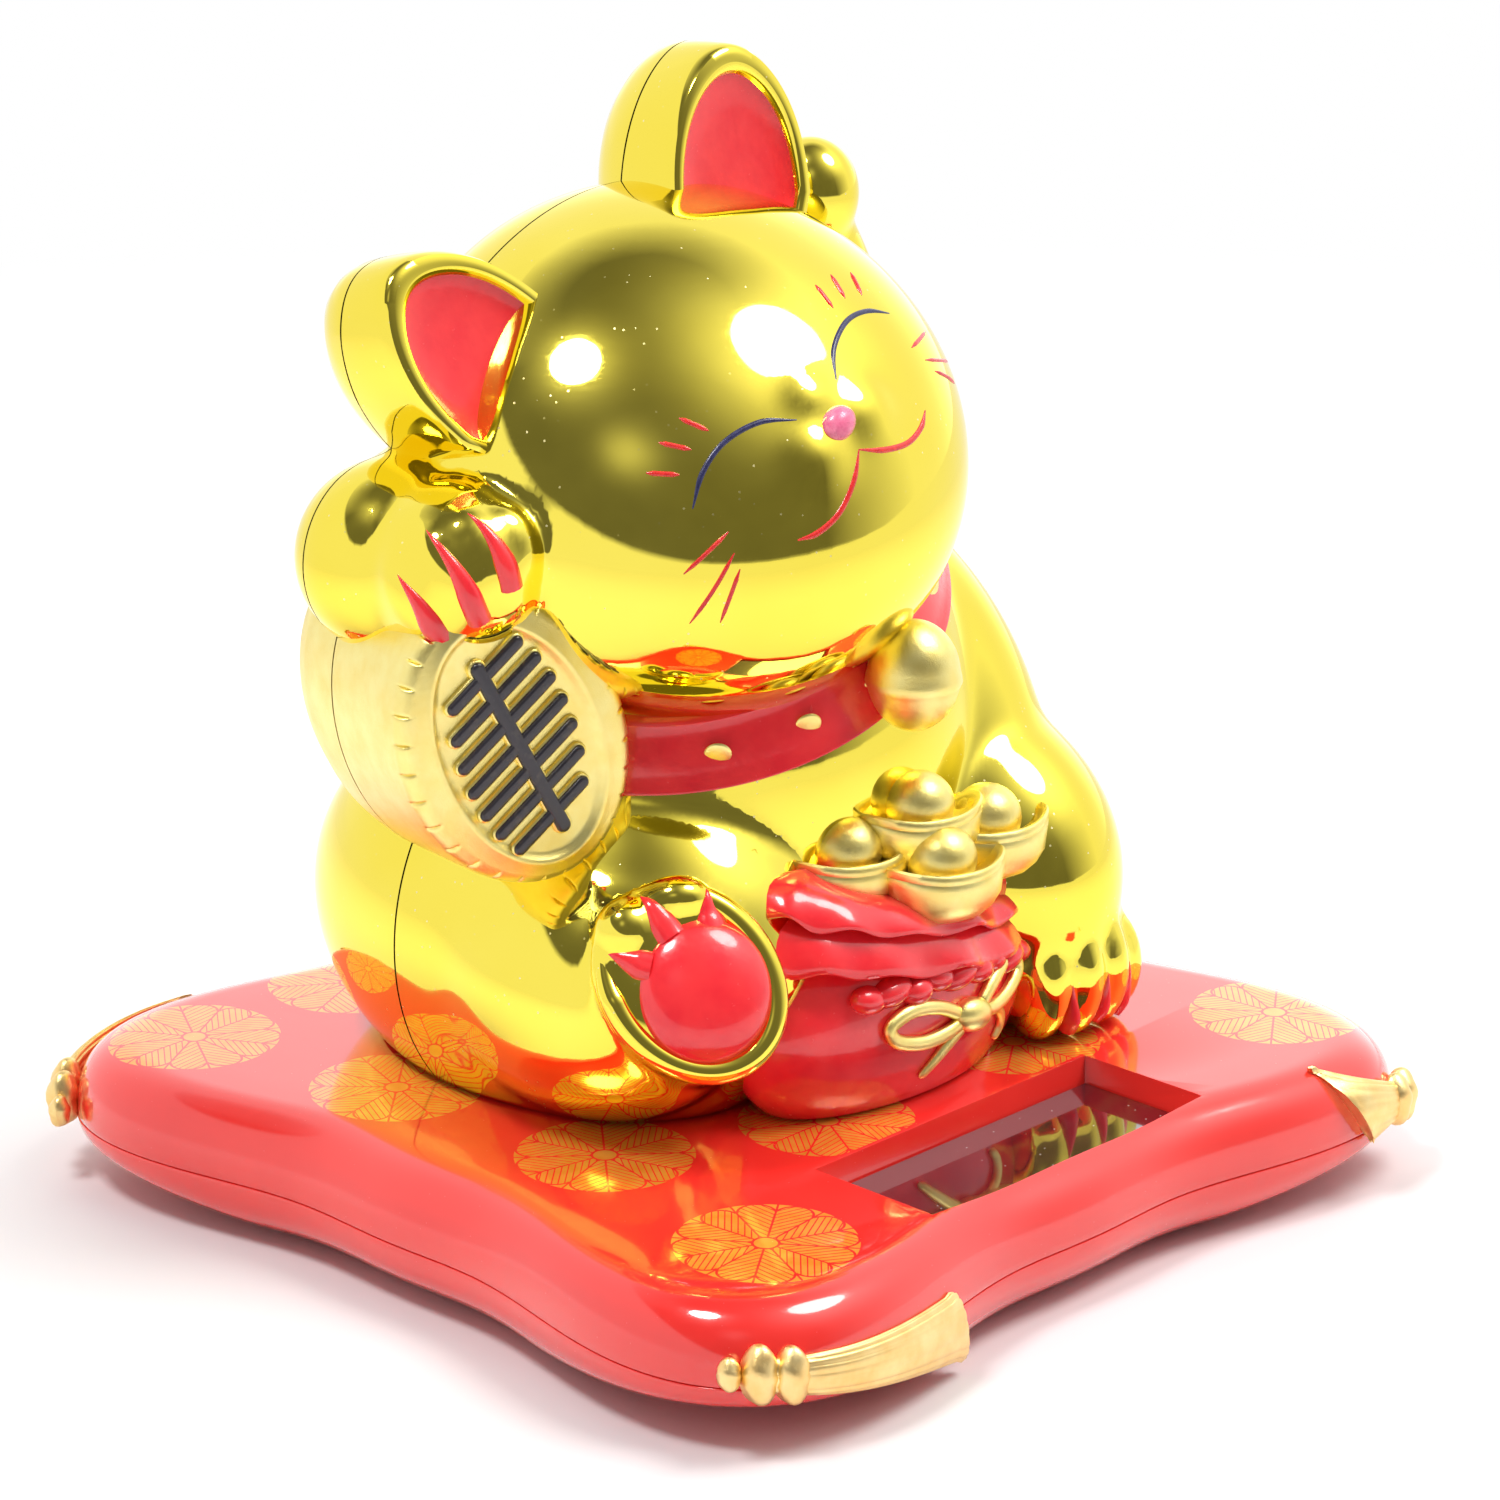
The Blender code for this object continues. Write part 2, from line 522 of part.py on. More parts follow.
def make_swing():
    pivot = up((SWING_X, PIVOT_Y, PIVOT_HEIGHT))
    pin_start = SWING_X - FRAME_SPAN / 2 - FRAME_WALL - 0.001
    hub_outer = HUB_INNER_X + HUB_THICKNESS

    # Frame: a foot on the cushion and two uprights that hold the pin
    foot_low = Vector((pin_start + 0.001, PIVOT_Y - FRAME_FOOT_DEPTH / 2, SEAT))
    foot_size = Vector((FRAME_SPAN + 2 * FRAME_WALL, FRAME_FOOT_DEPTH, FRAME_FOOT_THICKNESS))
    foot = box(foot_low, foot_low + foot_size)
    uprights = []
    for low_x in (foot_low.x + 0.0001, foot_low.x + foot_size.x - FRAME_WALL - 0.0001):
        low = Vector((low_x, PIVOT_Y - FRAME_WIDTH / 2, SEAT + FRAME_FOOT_THICKNESS / 2))
        uprights.append(box(low, (low_x + FRAME_WALL, PIVOT_Y + FRAME_WIDTH / 2, pivot.z + 0.003)))
    frame = combine(foot, "UNION", uprights)
    bore = rod((pin_start - 0.01, pivot.y, pivot.z), (hub_outer + 0.01, pivot.y, pivot.z), PIN_RADIUS + GAP)
    frame = combine(frame, "DIFFERENCE", [bore])
    piece("swing_frame", frame, "white_plastic")

    # Arm: a hub outside the shoulder, a tapered forearm and a paw
    hub = rod((HUB_INNER_X, pivot.y, pivot.z), (hub_outer, pivot.y, pivot.z), HUB_RADIUS, 24)
    root = Vector((HUB_INNER_X + HUB_THICKNESS / 2, pivot.y, pivot.z))
    bend = root + Vector((0, 0, ARM_RISE))
    paw = up(PAW_PLACE)
    path = [root, (root + bend) / 2, bend, bend.lerp(paw, 0.2), bend.lerp(paw, 0.5), paw]
    radii = [ARM_NECK, ARM_NECK, ARM_NECK, ARM_NECK, ARM_RADIUS, ARM_RADIUS]
    arm = combine(hub, "UNION", [limb(path, radii), ball(paw, PAW_RADII, around=16, down=9)])
    hole_start = Vector((HUB_INNER_X - 0.001, pivot.y, pivot.z))
    hole_end = Vector((hub_outer - 0.001, pivot.y, pivot.z))
    arm = combine(arm, "DIFFERENCE", [rod(hole_start, hole_end, PIN_RADIUS + GAP)])
    piece("beckoning_arm", arm, "gold_chrome", pivot)

    pin = rod((pin_start, pivot.y, pivot.z), (hub_outer - 0.001 - GAP, pivot.y, pivot.z), PIN_RADIUS)
    piece("arm_pivot_pin", pin, "steel", pivot)

    # Lever: a boss on the pin, a flat arm down to the magnet's ring
    magnet_z = SEAT + FRAME_FOOT_THICKNESS + MAGNET_CLEARANCE + MAGNET_RADIUS + 0.001
    half = Vector((LEVER_THICKNESS / 2, 0, 0))
    magnet = Vector((SWING_X, PIVOT_Y, magnet_z))
    bar = box(
        (SWING_X - LEVER_THICKNESS / 2, PIVOT_Y - LEVER_WIDTH / 2, magnet_z),
        (SWING_X + LEVER_THICKNESS / 2, PIVOT_Y + LEVER_WIDTH / 2, pivot.z),
    )
    lever = combine(
        bar,
        "UNION",
        [
            rod(pivot - 2 * half, pivot + 2 * half, PIN_RADIUS + 0.0018, 20),
            rod(magnet - 2 * half, magnet + 1.2 * half, MAGNET_RADIUS + 0.001, 24),
        ],
    )
    lever = combine(
        lever,
        "DIFFERENCE",
        [
            rod(pivot - 3 * half, pivot + 3 * half, PIN_RADIUS + GAP),
            rod(magnet - 0.8 * half, magnet + 3 * half, MAGNET_RADIUS + GAP, 24),
        ],
    )
    piece("arm_lever", lever, "white_plastic", pivot)
    disc_start = magnet - 0.8 * half + Vector((GAP, 0, 0))
    disc = rod(disc_start, disc_start + Vector((MAGNET_THICKNESS, 0, 0)), MAGNET_RADIUS, 24)
    piece("swing_magnet", disc, "magnet", pivot)


# ---------------------------------------------------------------- cat


def form(blob, grow=0.0, around=24, down=12):
    place, radii, turn = blob
    return ball(up(place), [r + grow for r in radii], turned(turn), around, down)


def head_spot(share):
    """A place given in head radii along the head's own axes."""
    place, radii, turn = HEAD
    return up(place) + turned(turn) @ Vector([s * r for s, r in zip(share, radii)])


def ear_ring(depth, scale, root, count=12):
    """The ear's outline at one depth behind its front: an arch whose sides run down into the head."""
    points = []
    for step in range(count + 1):
        angle = pi * step / count
        points.append((EAR_HALF_WIDTH * scale * cos(angle), depth, EAR_HEIGHT * scale * sin(angle)))
    points.append((-EAR_HALF_WIDTH * scale * 0.8, depth, -root))
    points.append((EAR_HALF_WIDTH * scale * 0.8, depth, -root))
    return points


def ear_matrix(spot, rise, facing):
    rise = Vector(rise).normalized()
    back = -Vector(facing)
    back = (back - rise * back.dot(rise)).normalized()
    basis = Matrix((back.cross(rise), back, rise)).transposed()
    return Matrix.Translation(head_spot(spot)) @ basis.to_4x4()


def placed(shape, matrix):
    shape.data.transform(matrix)
    return shape


def ear_slab(where, shrink, front, back):
    """The inside of the ear's outline, from front to back, its foot within the head."""
    share = 0.93 - (EAR_RIM + shrink) / EAR_HALF_WIDTH
    rings = [ear_ring(depth, share, EAR_ROOT * 0.6) for depth in (front, back)]
    return placed(loft(rings), ear_matrix(*where))


def ear(where):
    levels = [(0, 0.93), (0.0008, 0.97), (0.003, 0.99), (0.0075, 1.0), (0.0115, 0.92), (0.0145, 0.74)]
    levels.append((EAR_DEPTH, 0.42))
    rings = [ear_ring(depth, share, EAR_ROOT * share) for depth, share in levels]
    horn = placed(loft(rings), ear_matrix(*where))
    return combine(horn, "DIFFERENCE", [ear_slab(where, 0.0, -0.003, EAR_HOLLOW)])


def ear_lining(where):
    front = EAR_HOLLOW - GAP - EAR_LINING
    slab = ear_slab(where, GAP, front, front + EAR_LINING)
    return combine(slab, "DIFFERENCE", [form(HEAD, GAP, *HEAD_FACETS)])


def coin_matrix():
    return Matrix.Translation(up(COIN_FACE)) @ turned(COIN_TURN).to_4x4()


def coin_body(grow=0.0, count=26):
    """The drum: from its face it widens and drops to the seam, then closes behind it."""
    levels = [(-grow, 0.0, 0.97), (0.0006, 0.0, 1.0), (COIN_SEAM_DEPTH, 1.0, 1.0)]
    levels += [(0.0240, 1.0, 0.97), (0.0270, 1.0, 0.85), (COIN_DEPTH + grow, 1.0, 0.62)]
    angles = [2 * pi * step / count for step in range(count)]
    rings = []
    for depth, share, scale in levels:
        wide, tall = [
            (face + (seam - face) * share) * scale + grow for face, seam in zip(COIN_RADII, COIN_SEAM_RADII)
        ]
        rings.append([(wide * cos(a), depth, tall * sin(a) - COIN_SEAM_DROP * share) for a in angles])
    return placed(loft(rings), coin_matrix())


def solid_forms(grow=0.0):
    """All the rounded forms of the cat's outside, as separate helpers."""
    fine = [form(HEAD, grow, *HEAD_FACETS), form(TORSO, grow, *TORSO_FACETS)]
    rest = [SHOULDER, HIP_RIGHT, HIP_LEFT, LEG_RIGHT, FOOT_RIGHT, THIGH_LEFT, FOOT_LEFT]
    rest += [HAND_RIGHT, FINGERS_RIGHT, WRIST_RIGHT]
    return fine + [form(blob, grow, *SMALL_FACETS) for blob in rest]


def shoulder_boss():
    pivot = up((0, PIVOT_Y, PIVOT_HEIGHT))
    start = Vector((SWING_X + 0.006, pivot.y, pivot.z))
    return rod(start, (HUB_INNER_X - GAP, pivot.y, pivot.z), SHOULDER_BOSS_RADIUS, 24)


def cat_outside():
    shapes = solid_forms() + [ear(EAR_RIGHT), ear(EAR_LEFT), shoulder_boss()]
    return combine(shapes[0], "UNION", shapes[1:])


def cat_inside():
    hollow = [form(blob, -SHELL_WALL, 16, 9) for blob in (HEAD, TORSO, SHOULDER, HIP_RIGHT, HIP_LEFT)]
    hollow = combine(hollow[0], "UNION", hollow[1:])
    floor_cut = box((-FAR, -FAR, -FAR), (FAR, FAR, SEAT + SHELL_WALL))
    return combine(hollow, "DIFFERENCE", [floor_cut])


def keep_largest(shape):
    """Drops the crumbs that a cut leaves loose."""
    form = bmesh.new()
    form.from_mesh(shape.data)
    waiting = set(form.verts)
    bodies = []
    while waiting:
        edge = [waiting.pop()]
        body = set(edge)
        while edge:
            linked = {link.other_vert(vert) for vert in edge for link in vert.link_edges}
            edge = list(linked - body)
            body |= linked
        waiting -= body
        bodies.append(body)
    crumbs = [vert for body in sorted(bodies, key=len)[:-1] for vert in body]
    bmesh.ops.delete(form, geom=crumbs, context="VERTS")
    form.to_mesh(shape.data)
    form.free()
    return shape


def split(front_name, rear_name, whole, finish_name):
    """Two pieces from one shape, parted at the seam."""
    rear = copy_of(whole)
    front_cut = box((-FAR, SEAM_Y - GAP / 2, -FAR), (FAR, FAR, FAR))
    rear_cut = box((-FAR, -FAR, -FAR), (FAR, SEAM_Y + GAP / 2, FAR))
    piece(front_name, keep_largest(combine(whole, "DIFFERENCE", [front_cut])), finish_name)
    piece(rear_name, keep_largest(combine(rear, "DIFFERENCE", [rear_cut])), finish_name)


def make_body():
    outside = cat_outside()
    pivot = up((0, PIVOT_Y, PIVOT_HEIGHT))
    cuts = [
        cat_inside(),
        box((-FAR, -FAR, -FAR), (FAR, FAR, SEAT)),
        coin_body(GAP),
        rod((0, pivot.y, pivot.z), (HUB_INNER_X + 0.001, pivot.y, pivot.z), PIN_RADIUS + GAP),
        box((*WINDOW_LOW, SEAT - 0.001), (*WINDOW_HIGH, SEAT + SHELL_WALL + 0.001)),
    ]
    outside = combine(outside, "DIFFERENCE", cuts)
    posts = [rod(up((*spot.xy, 0.0005)), up((*spot.xy, CAT_POST_HEIGHT)), POST_RADIUS) for spot in CAT_POSTS]
    outside = combine(outside, "UNION", posts)
    bores = [
        rod(up((*spot.xy, -0.001)), up((*spot.xy, CAT_POST_HEIGHT - 0.001)), SCREW_RADIUS + GAP)
        for spot in CAT_POSTS
    ]
    outside = combine(outside, "DIFFERENCE", bores)
    split("body_front_shell", "body_rear_shell", outside, "gold_chrome")
    for number, spot in enumerate(CAT_POSTS, 1):
        head = Vector((*spot.xy, CEILING_Z - SCREW_HEAD_HEIGHT - GAP))
        piece(f"cat_screw_{number}", screw(head), "steel")


def grown_body():
    """The cat's outside, larger by the clearance, to cut what rests on it."""
    shapes = solid_forms(GAP)
    return combine(shapes[0], "UNION", shapes[1:])


def make_coin():
    """A hollow oval drum in two halves, with a sunk oval on its face."""
    field = COIN_FIELD * COIN_RADII[0], COIN_FIELD * COIN_RADII[1]
    angles = [2 * pi * step / 28 for step in range(28)]
    depths = (-0.002, COIN_FIELD_DEPTH)
    rings = [[(field[0] * cos(a), depth, field[1] * sin(a)) for a in angles] for depth in depths]
    sunk = placed(loft(rings), coin_matrix())
    whole = combine(coin_body(), "DIFFERENCE", [sunk, coin_body(-SHELL_WALL, 20)])
    split("coin_front_half", "coin_rear_half", whole, "gold_satin")

    # A plain lattice in the middle of the face: one upright and five cross bars
    low, high = COIN_FIELD_DEPTH - GAP - RELIEF_HEIGHT, COIN_FIELD_DEPTH - GAP
    reach = field[1] * 0.74
    upright = box((-RELIEF_BAR / 2, low, -reach), (RELIEF_BAR / 2, high, reach))
    bars = []
    for row in range(-2, 3):
        z = row * reach * 0.42
        half = field[0] * 0.74 * (1 - (z / field[1]) ** 2) ** 0.5
        bar_low = (-half, low + 0.0001, z - RELIEF_BAR / 2)
        bars.append(box(bar_low, (half, high - 0.0001, z + RELIEF_BAR / 2)))
    piece("coin_relief", placed(combine(upright, "UNION", bars), coin_matrix()), "black_paint")


def collar_shape(grow=0.0):
    skin = [form(blob, COLLAR_THICKNESS + grow, *TORSO_FACETS) for blob in (TORSO, SHOULDER)]
    skin = combine(skin[0], "UNION", skin[1:])
    half = COLLAR_HEIGHT / 2 + grow
    slab = box((-FAR, -FAR, -half), (FAR, FAR, half))
    placed(slab, Matrix.Translation(up(COLLAR_PLACE)) @ turned(COLLAR_TURN).to_4x4())
    return combine(skin, "INTERSECT", [slab])


def bag_shape(grow=0.0):
    forms = [(BAG_PLACE, BAG_RADII)]
    forms += [(RUFFLE_PLACE + Vector((0, 0, rise)), RUFFLE_RADII) for rise in (0, RUFFLE_STEP)]
    shapes = [ball(up(place), [r + grow for r in radii], None, 20, 10) for place, radii in forms]
    return combine(shapes[0], "UNION", shapes[1:])


def ingot_shape(spot, grow=0.0):
    """A boat-shaped ingot with a ball in the middle."""
    middle = up(RUFFLE_PLACE + Vector(spot))
    boat = ball(middle, [r + grow for r in INGOT_RADII], turned(INGOT_TURN), 14, 6)
    top = middle + Vector((0, -0.0006, INGOT_RADII[2] * 0.75))
    return combine(boat, "UNION", [ball(top, [INGOT_BALL + grow] * 3, None, 10, 6)])


def make_collar(body):
    collar = combine(collar_shape(), "DIFFERENCE", [copy_of(body), coin_body(GAP)])
    piece("collar", collar, "red_paint")
    bell = ball(up(BELL_PLACE), BELL_RADII, None, 16, 10)
    piece("bell", combine(bell, "DIFFERENCE", [copy_of(body), collar_shape(GAP)]), "gold_satin")


def make_bag(body):
    floor_cut = box((-FAR, -FAR, -FAR), (FAR, FAR, SEAT))
    piece("money_bag", combine(bag_shape(), "DIFFERENCE", [copy_of(body), floor_cut]), "red_paint")
    taken = [bag_shape(GAP)]
    for number, spot in enumerate(INGOT_SPOTS, 1):
        around = [copy_of(other) for other in (body, *taken)]
        shape = combine(ingot_shape(spot), "DIFFERENCE", around)
        piece(f"ingot_{number}", shape, "gold_satin")
        taken.append(ingot_shape(spot, GAP))
    for used in taken:
        bpy.data.objects.remove(used, do_unlink=True)

    # Bow: a knot, two loops and two tails
    bow = up(BOW_PLACE)
    parts = []
    for side in (-1, 1):
        loop = bow + Vector((side * 0.0042, 0.0004, 0.0008))
        tail = bow + Vector((side * 0.0026, 0.0006, -0.0040))
        parts.append(ball(loop, BOW_LOOP_RADII, turned((0, side * -14, side * 8)), 12, 6))
        parts.append(ball(tail, BOW_TAIL_RADII, turned((0, side * -28, 0)), 8, 6))
    knot = combine(ball(bow, BOW_KNOT_RADII, None, 10, 6), "UNION", parts)
    piece("bag_bow", combine(knot, "DIFFERENCE", [bag_shape(GAP)]), "gold_satin")


def make_face(body):
    foot, foot_radii, foot_turn = FOOT_RIGHT
    sole = up(foot) + turned(foot_turn) @ Vector((0, -foot_radii[1], 0.0002))
    pad = combine(ball(sole, SOLE_RADII, turned(foot_turn), 16, 8), "DIFFERENCE", [copy_of(body)])
    piece("sole_pad_right", pad, "red_paint")
    nose = ball(head_spot(NOSE_SPOT), NOSE_RADII, turned(HEAD[2]), 10, 6)
    piece("nose", combine(nose, "DIFFERENCE", [copy_of(body)]), "pink_paint")
    piece("ear_lining_right", ear_lining(EAR_RIGHT), "red_paint")
    piece("ear_lining_left", ear_lining(EAR_LEFT), "red_paint")


def make_tassels():
    cushion = combine(cushion_half(CUSHION_RISE, -GAP), "UNION", [cushion_half(-CUSHION_DROP, -GAP, -0.001)])
    for name, (knot, end, rise, flare) in TASSELS.items():
        steps = 5
        shares = [step / steps for step in range(steps + 1)]
        heights = [PARTING_Z + TASSEL_RISE + (rise - TASSEL_RISE) * share for share in shares]
        turns = [radians(knot + (end - knot) * share) for share in shares]
        path = [side_point(turn, height) for turn, height in zip(turns, heights)]
        rings = []
        for number, (point, share) in enumerate(zip(path, shares)):
            radius = TASSEL_NECK + (flare - TASSEL_NECK) * share
            along = (path[min(number + 1, steps)] - path[max(number - 1, 0)]).normalized()
            out = along.cross(Vector((0, 0, 1))).normalized() * TASSEL_FLATNESS
            angles = [2 * pi * step / 12 for step in range(12)]
            rings.append([point + radius * (Vector((0, 0, 1)) * cos(a) + out * sin(a)) for a in angles])
        tip = ball(path[0], [TASSEL_BALL] * 3, None, 10, 6)
        skirt = combine(loft(rings), "UNION", [tip])
        piece(name, combine(skirt, "DIFFERENCE", [copy_of(cushion)]), "gold_satin")
    bpy.data.objects.remove(cushion, do_unlink=True)


clear_scene()
PARTS = collection("beckoning_cat")
CUTTERS = collection("cutters", hidden=True)
MATERIALS = {name: finish(name, *values) for name, values in FINISHES.items()}
recess = make_cushion()
make_electronics(recess)
make_swing()
make_body()
make_coin()
grown = grown_body()
make_collar(grown)
make_bag(grown)
make_face(grown)
bpy.data.objects.remove(grown, do_unlink=True)
make_tassels()
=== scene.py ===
# %% [markdown]
# # A beckoning cat on a red cushion
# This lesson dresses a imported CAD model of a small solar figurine: a gold cat that sits on a red
# cushion, holds an oval coin and a bag of ingots, and waves its left arm. The CAD model gives the
# true sizes. Each step makes one piece of the figurine again with a fine surface and its own finish.

# %% Load the frame
import json
from math import asin, atan2, cos, pi, radians, sin

import bmesh
import bpy
import numpy as np
from mathutils import Euler, Matrix, Vector

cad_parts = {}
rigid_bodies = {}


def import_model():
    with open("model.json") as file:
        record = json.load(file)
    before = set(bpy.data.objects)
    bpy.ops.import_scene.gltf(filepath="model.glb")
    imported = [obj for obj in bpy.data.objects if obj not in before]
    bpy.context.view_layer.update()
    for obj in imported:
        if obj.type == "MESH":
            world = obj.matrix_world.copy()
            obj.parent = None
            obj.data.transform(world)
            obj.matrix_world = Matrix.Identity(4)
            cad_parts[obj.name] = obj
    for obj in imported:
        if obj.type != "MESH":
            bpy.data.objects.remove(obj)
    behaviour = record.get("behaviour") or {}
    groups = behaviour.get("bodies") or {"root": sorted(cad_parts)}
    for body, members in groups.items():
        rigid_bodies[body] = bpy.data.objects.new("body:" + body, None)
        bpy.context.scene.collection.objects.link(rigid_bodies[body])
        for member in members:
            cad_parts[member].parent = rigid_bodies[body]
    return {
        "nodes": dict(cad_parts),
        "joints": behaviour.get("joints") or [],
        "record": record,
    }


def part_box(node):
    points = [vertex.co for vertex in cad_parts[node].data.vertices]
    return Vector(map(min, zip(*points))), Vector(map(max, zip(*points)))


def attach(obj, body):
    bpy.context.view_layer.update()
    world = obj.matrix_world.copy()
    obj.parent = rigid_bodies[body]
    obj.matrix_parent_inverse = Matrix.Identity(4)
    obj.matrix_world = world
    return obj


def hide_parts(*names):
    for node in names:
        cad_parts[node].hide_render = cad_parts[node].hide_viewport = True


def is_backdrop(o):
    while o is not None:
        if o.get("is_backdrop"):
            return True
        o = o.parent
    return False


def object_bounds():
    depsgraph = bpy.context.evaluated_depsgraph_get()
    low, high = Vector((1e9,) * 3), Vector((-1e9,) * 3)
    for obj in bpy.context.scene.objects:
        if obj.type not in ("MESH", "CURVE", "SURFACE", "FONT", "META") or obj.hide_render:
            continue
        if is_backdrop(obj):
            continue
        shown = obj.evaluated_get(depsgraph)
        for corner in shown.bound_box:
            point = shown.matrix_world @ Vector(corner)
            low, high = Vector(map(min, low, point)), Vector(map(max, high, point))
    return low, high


for old in list(bpy.data.objects):
    bpy.data.objects.remove(old, do_unlink=True)
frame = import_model()
CAD_BOX = [list(corner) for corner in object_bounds()]
MM = 0.001
print("The CAD box, in mm:", [[round(x / MM, 1) for x in corner] for corner in CAD_BOX])

# %% [markdown]
# ## Sums written as sums
# A material's pattern is worked out by many small Math nodes. Wrapping a socket in a class lets
# Python's own signs add those nodes, so a pattern reads as a formula. Every other kind of node
# comes from one method, which takes its settings first and then what its sockets hold.


# %% A number that varies over a surface
class Varying:
    """A socket. A sum or product with it adds a Math node."""

    def __init__(self, finish, socket):
        self.finish, self.socket = finish, socket

    def math(self, operation, *terms):
        return self.finish.math(operation, *terms)

    def __add__(self, other):
        return self.math("ADD", self, other)

    def __radd__(self, other):
        return self.math("ADD", other, self)

    def __sub__(self, other):
        return self.math("SUBTRACT", self, other)

    def __rsub__(self, other):
        return self.math("SUBTRACT", other, self)

    def __mul__(self, other):
        return self.math("MULTIPLY", self, other)

    def __rmul__(self, other):
        return self.math("MULTIPLY", other, self)

    def __truediv__(self, other):
        return self.math("DIVIDE", self, other)

    def __rtruediv__(self, other):
        return self.math("DIVIDE", other, self)

    def __pow__(self, other):
        return self.math("POWER", self, other)

    def __gt__(self, other):
        return self.math("GREATER_THAN", self, other)

    def __lt__(self, other):
        return self.math("LESS_THAN", self, other)

    def __abs__(self):
        return self.math("ABSOLUTE", self)

    def wave(self):
        return self.math("SINE", self)

    def fraction(self):
        return self.math("FRACT", self)

    def clamped(self):
        return self.finish.node("Clamp", {}, {"Value": self})


# %% A finish and its nodes
class Finish:
    """A material on the Principled shader."""

    def __init__(self, name, **constants):
        self.material = bpy.data.materials.new(name)
        self.material.use_nodes = True
        self.tree = self.material.node_tree
        self.shader = self.tree.nodes["Principled BSDF"]
        for socket, value in constants.items():
            self.shader.inputs[socket.replace("_", " ")].default_value = value
        self.place = self.node("TexCoord", {}, {}, "Object")
        self.mm = self.vector("SCALE", self.place, Scale=1000.0)

    def node(self, kind, settings, sockets, output=0):
        """Adds any kind of node: its settings, what its sockets hold, and which output is wanted."""
        made = self.tree.nodes.new("ShaderNode" + kind)
        for name, value in settings.items():
            setattr(made, name, value)
        for name, value in sockets.items():
            if isinstance(value, Varying):
                self.tree.links.new(value.socket, made.inputs[name])
            else:
                made.inputs[name].default_value = value
        return Varying(self, made.outputs[output])

    def math(self, operation, *terms):
        return self.node("Math", {"operation": operation}, dict(enumerate(terms)))

    def vector(self, operation, *terms, output=0, **named):
        sockets = {**dict(enumerate(terms)), **named}
        return self.node("VectorMath", {"operation": operation}, sockets, output)

    def noise(self, scale, detail=3.0, where=None):
        """Clouds from 0 to 1. scale is in clouds to the millimetre."""
        return self.node("TexNoise", {}, {"Vector": where or self.mm, "Scale": scale, "Detail": detail})

    def speckled(self, scale, reach):
        """1 in small round specks and 0 elsewhere."""
        return self.node("TexVoronoi", {"feature": "F1"}, {"Vector": self.mm, "Scale": scale}) < reach

    def blend(self, share, low, high):
        """A colour between two others."""
        low, high = [(*end, 1) if isinstance(end, tuple) else end for end in (low, high)]
        return self.node("Mix", {"data_type": "RGBA"}, {0: share, 6: low, 7: high}, 2)

    def between(self, value, low, high, start=0.0, end=1.0):
        """value's range from low to high, spread over start to end."""
        sockets = {0: value, 1: low, 2: high, 3: start, 4: end}
        return self.node("MapRange", {"clamp": True}, sockets)

    def axes(self, where=None):
        """The x, y and z of a place, which is the surface's own in mm unless another is given."""
        split = self.tree.nodes.new("ShaderNodeSeparateXYZ")
        self.tree.links.new((where or self.mm).socket, split.inputs[0])
        return [Varying(self, out) for out in split.outputs]

    def feed(self, **sockets):
        """Links numbers and colours that vary to the shader's sockets."""
        for name, value in sockets.items():
            self.tree.links.new(value.socket, self.shader.inputs[name.replace("_", " ")])

    def bump(self, height, distance, strength=1.0):
        made = self.node("Bump", {}, {"Height": height, "Distance": distance, "Strength": strength})
        self.feed(Normal=made)


# %% [markdown]
# ## The gold
# The body is moulded plastic with a bright metal film under a yellow lacquer, so it mirrors the
# room. A perfect mirror would look artificial. A real one has faint swirls from wiping, specks of
# dust and a colour that changes a little in depth, and those go in its roughness and colour. The
# coin, bell, ingots and tassels are painted with a satin gold, which has a fine grain. Both could
# be one flat colour of metal, but then a large smooth form would give away that nothing varies.


# %% Bright gold
def bright_gold():
    made = Finish("bright_gold", Metallic=1.0, IOR=1.5)
    tint = made.between(made.noise(0.05, 2.0), 0.35, 0.65)
    colour = made.blend(tint, (0.95, 0.775, 0.085), (0.97, 0.81, 0.11))
    wiped = made.vector("MULTIPLY", made.mm, (0.5, 0.5, 3.0))
    swirl = made.between(made.noise(0.9, 4.0, wiped), 0.45, 0.8, 0.0, 0.035)
    dust = made.speckled(0.75, 0.085) * made.between(made.noise(0.12, 3.0), 0.40, 0.60)
    made.feed(Base_Color=made.blend(dust * 0.6, colour, (1.0, 0.95, 0.7)))
    made.feed(Roughness=0.04 + swirl + dust * 0.4)
    made.bump(made.noise(0.22, 1.0), 0.00004, 0.35)
    return made.material


# %% Satin gold
def satin_gold(name, low, high):
    """low and high: the colours that it drifts between."""
    made = Finish(name, Metallic=1.0)
    tint = made.between(made.noise(0.35, 4.0), 0.3, 0.7)
    grain = made.noise(9.0, 2.0)
    made.feed(Base_Color=made.blend(tint, low, high))
    made.feed(Roughness=made.between(grain, 0.2, 0.8, 0.27, 0.44))
    made.bump(grain + 0.6 * made.noise(2.2, 3.0), 0.00005, 0.5)
    return made.material


# %% [markdown]
# ## The flowers printed on the cushion
# Gold chrysanthemums are printed on the red, a traditional pattern for such cushions. Each has
# twelve petals with round ends, hatched so that neighbours form a herringbone, and small gold
# triangles between the ends. They could be thin pieces laid on the cushion, but a print has no
# thickness, and a piece would cast a shadow. So the print is part of the red's own material, and
# is worked out from how far a point is from the nearest flower's middle.


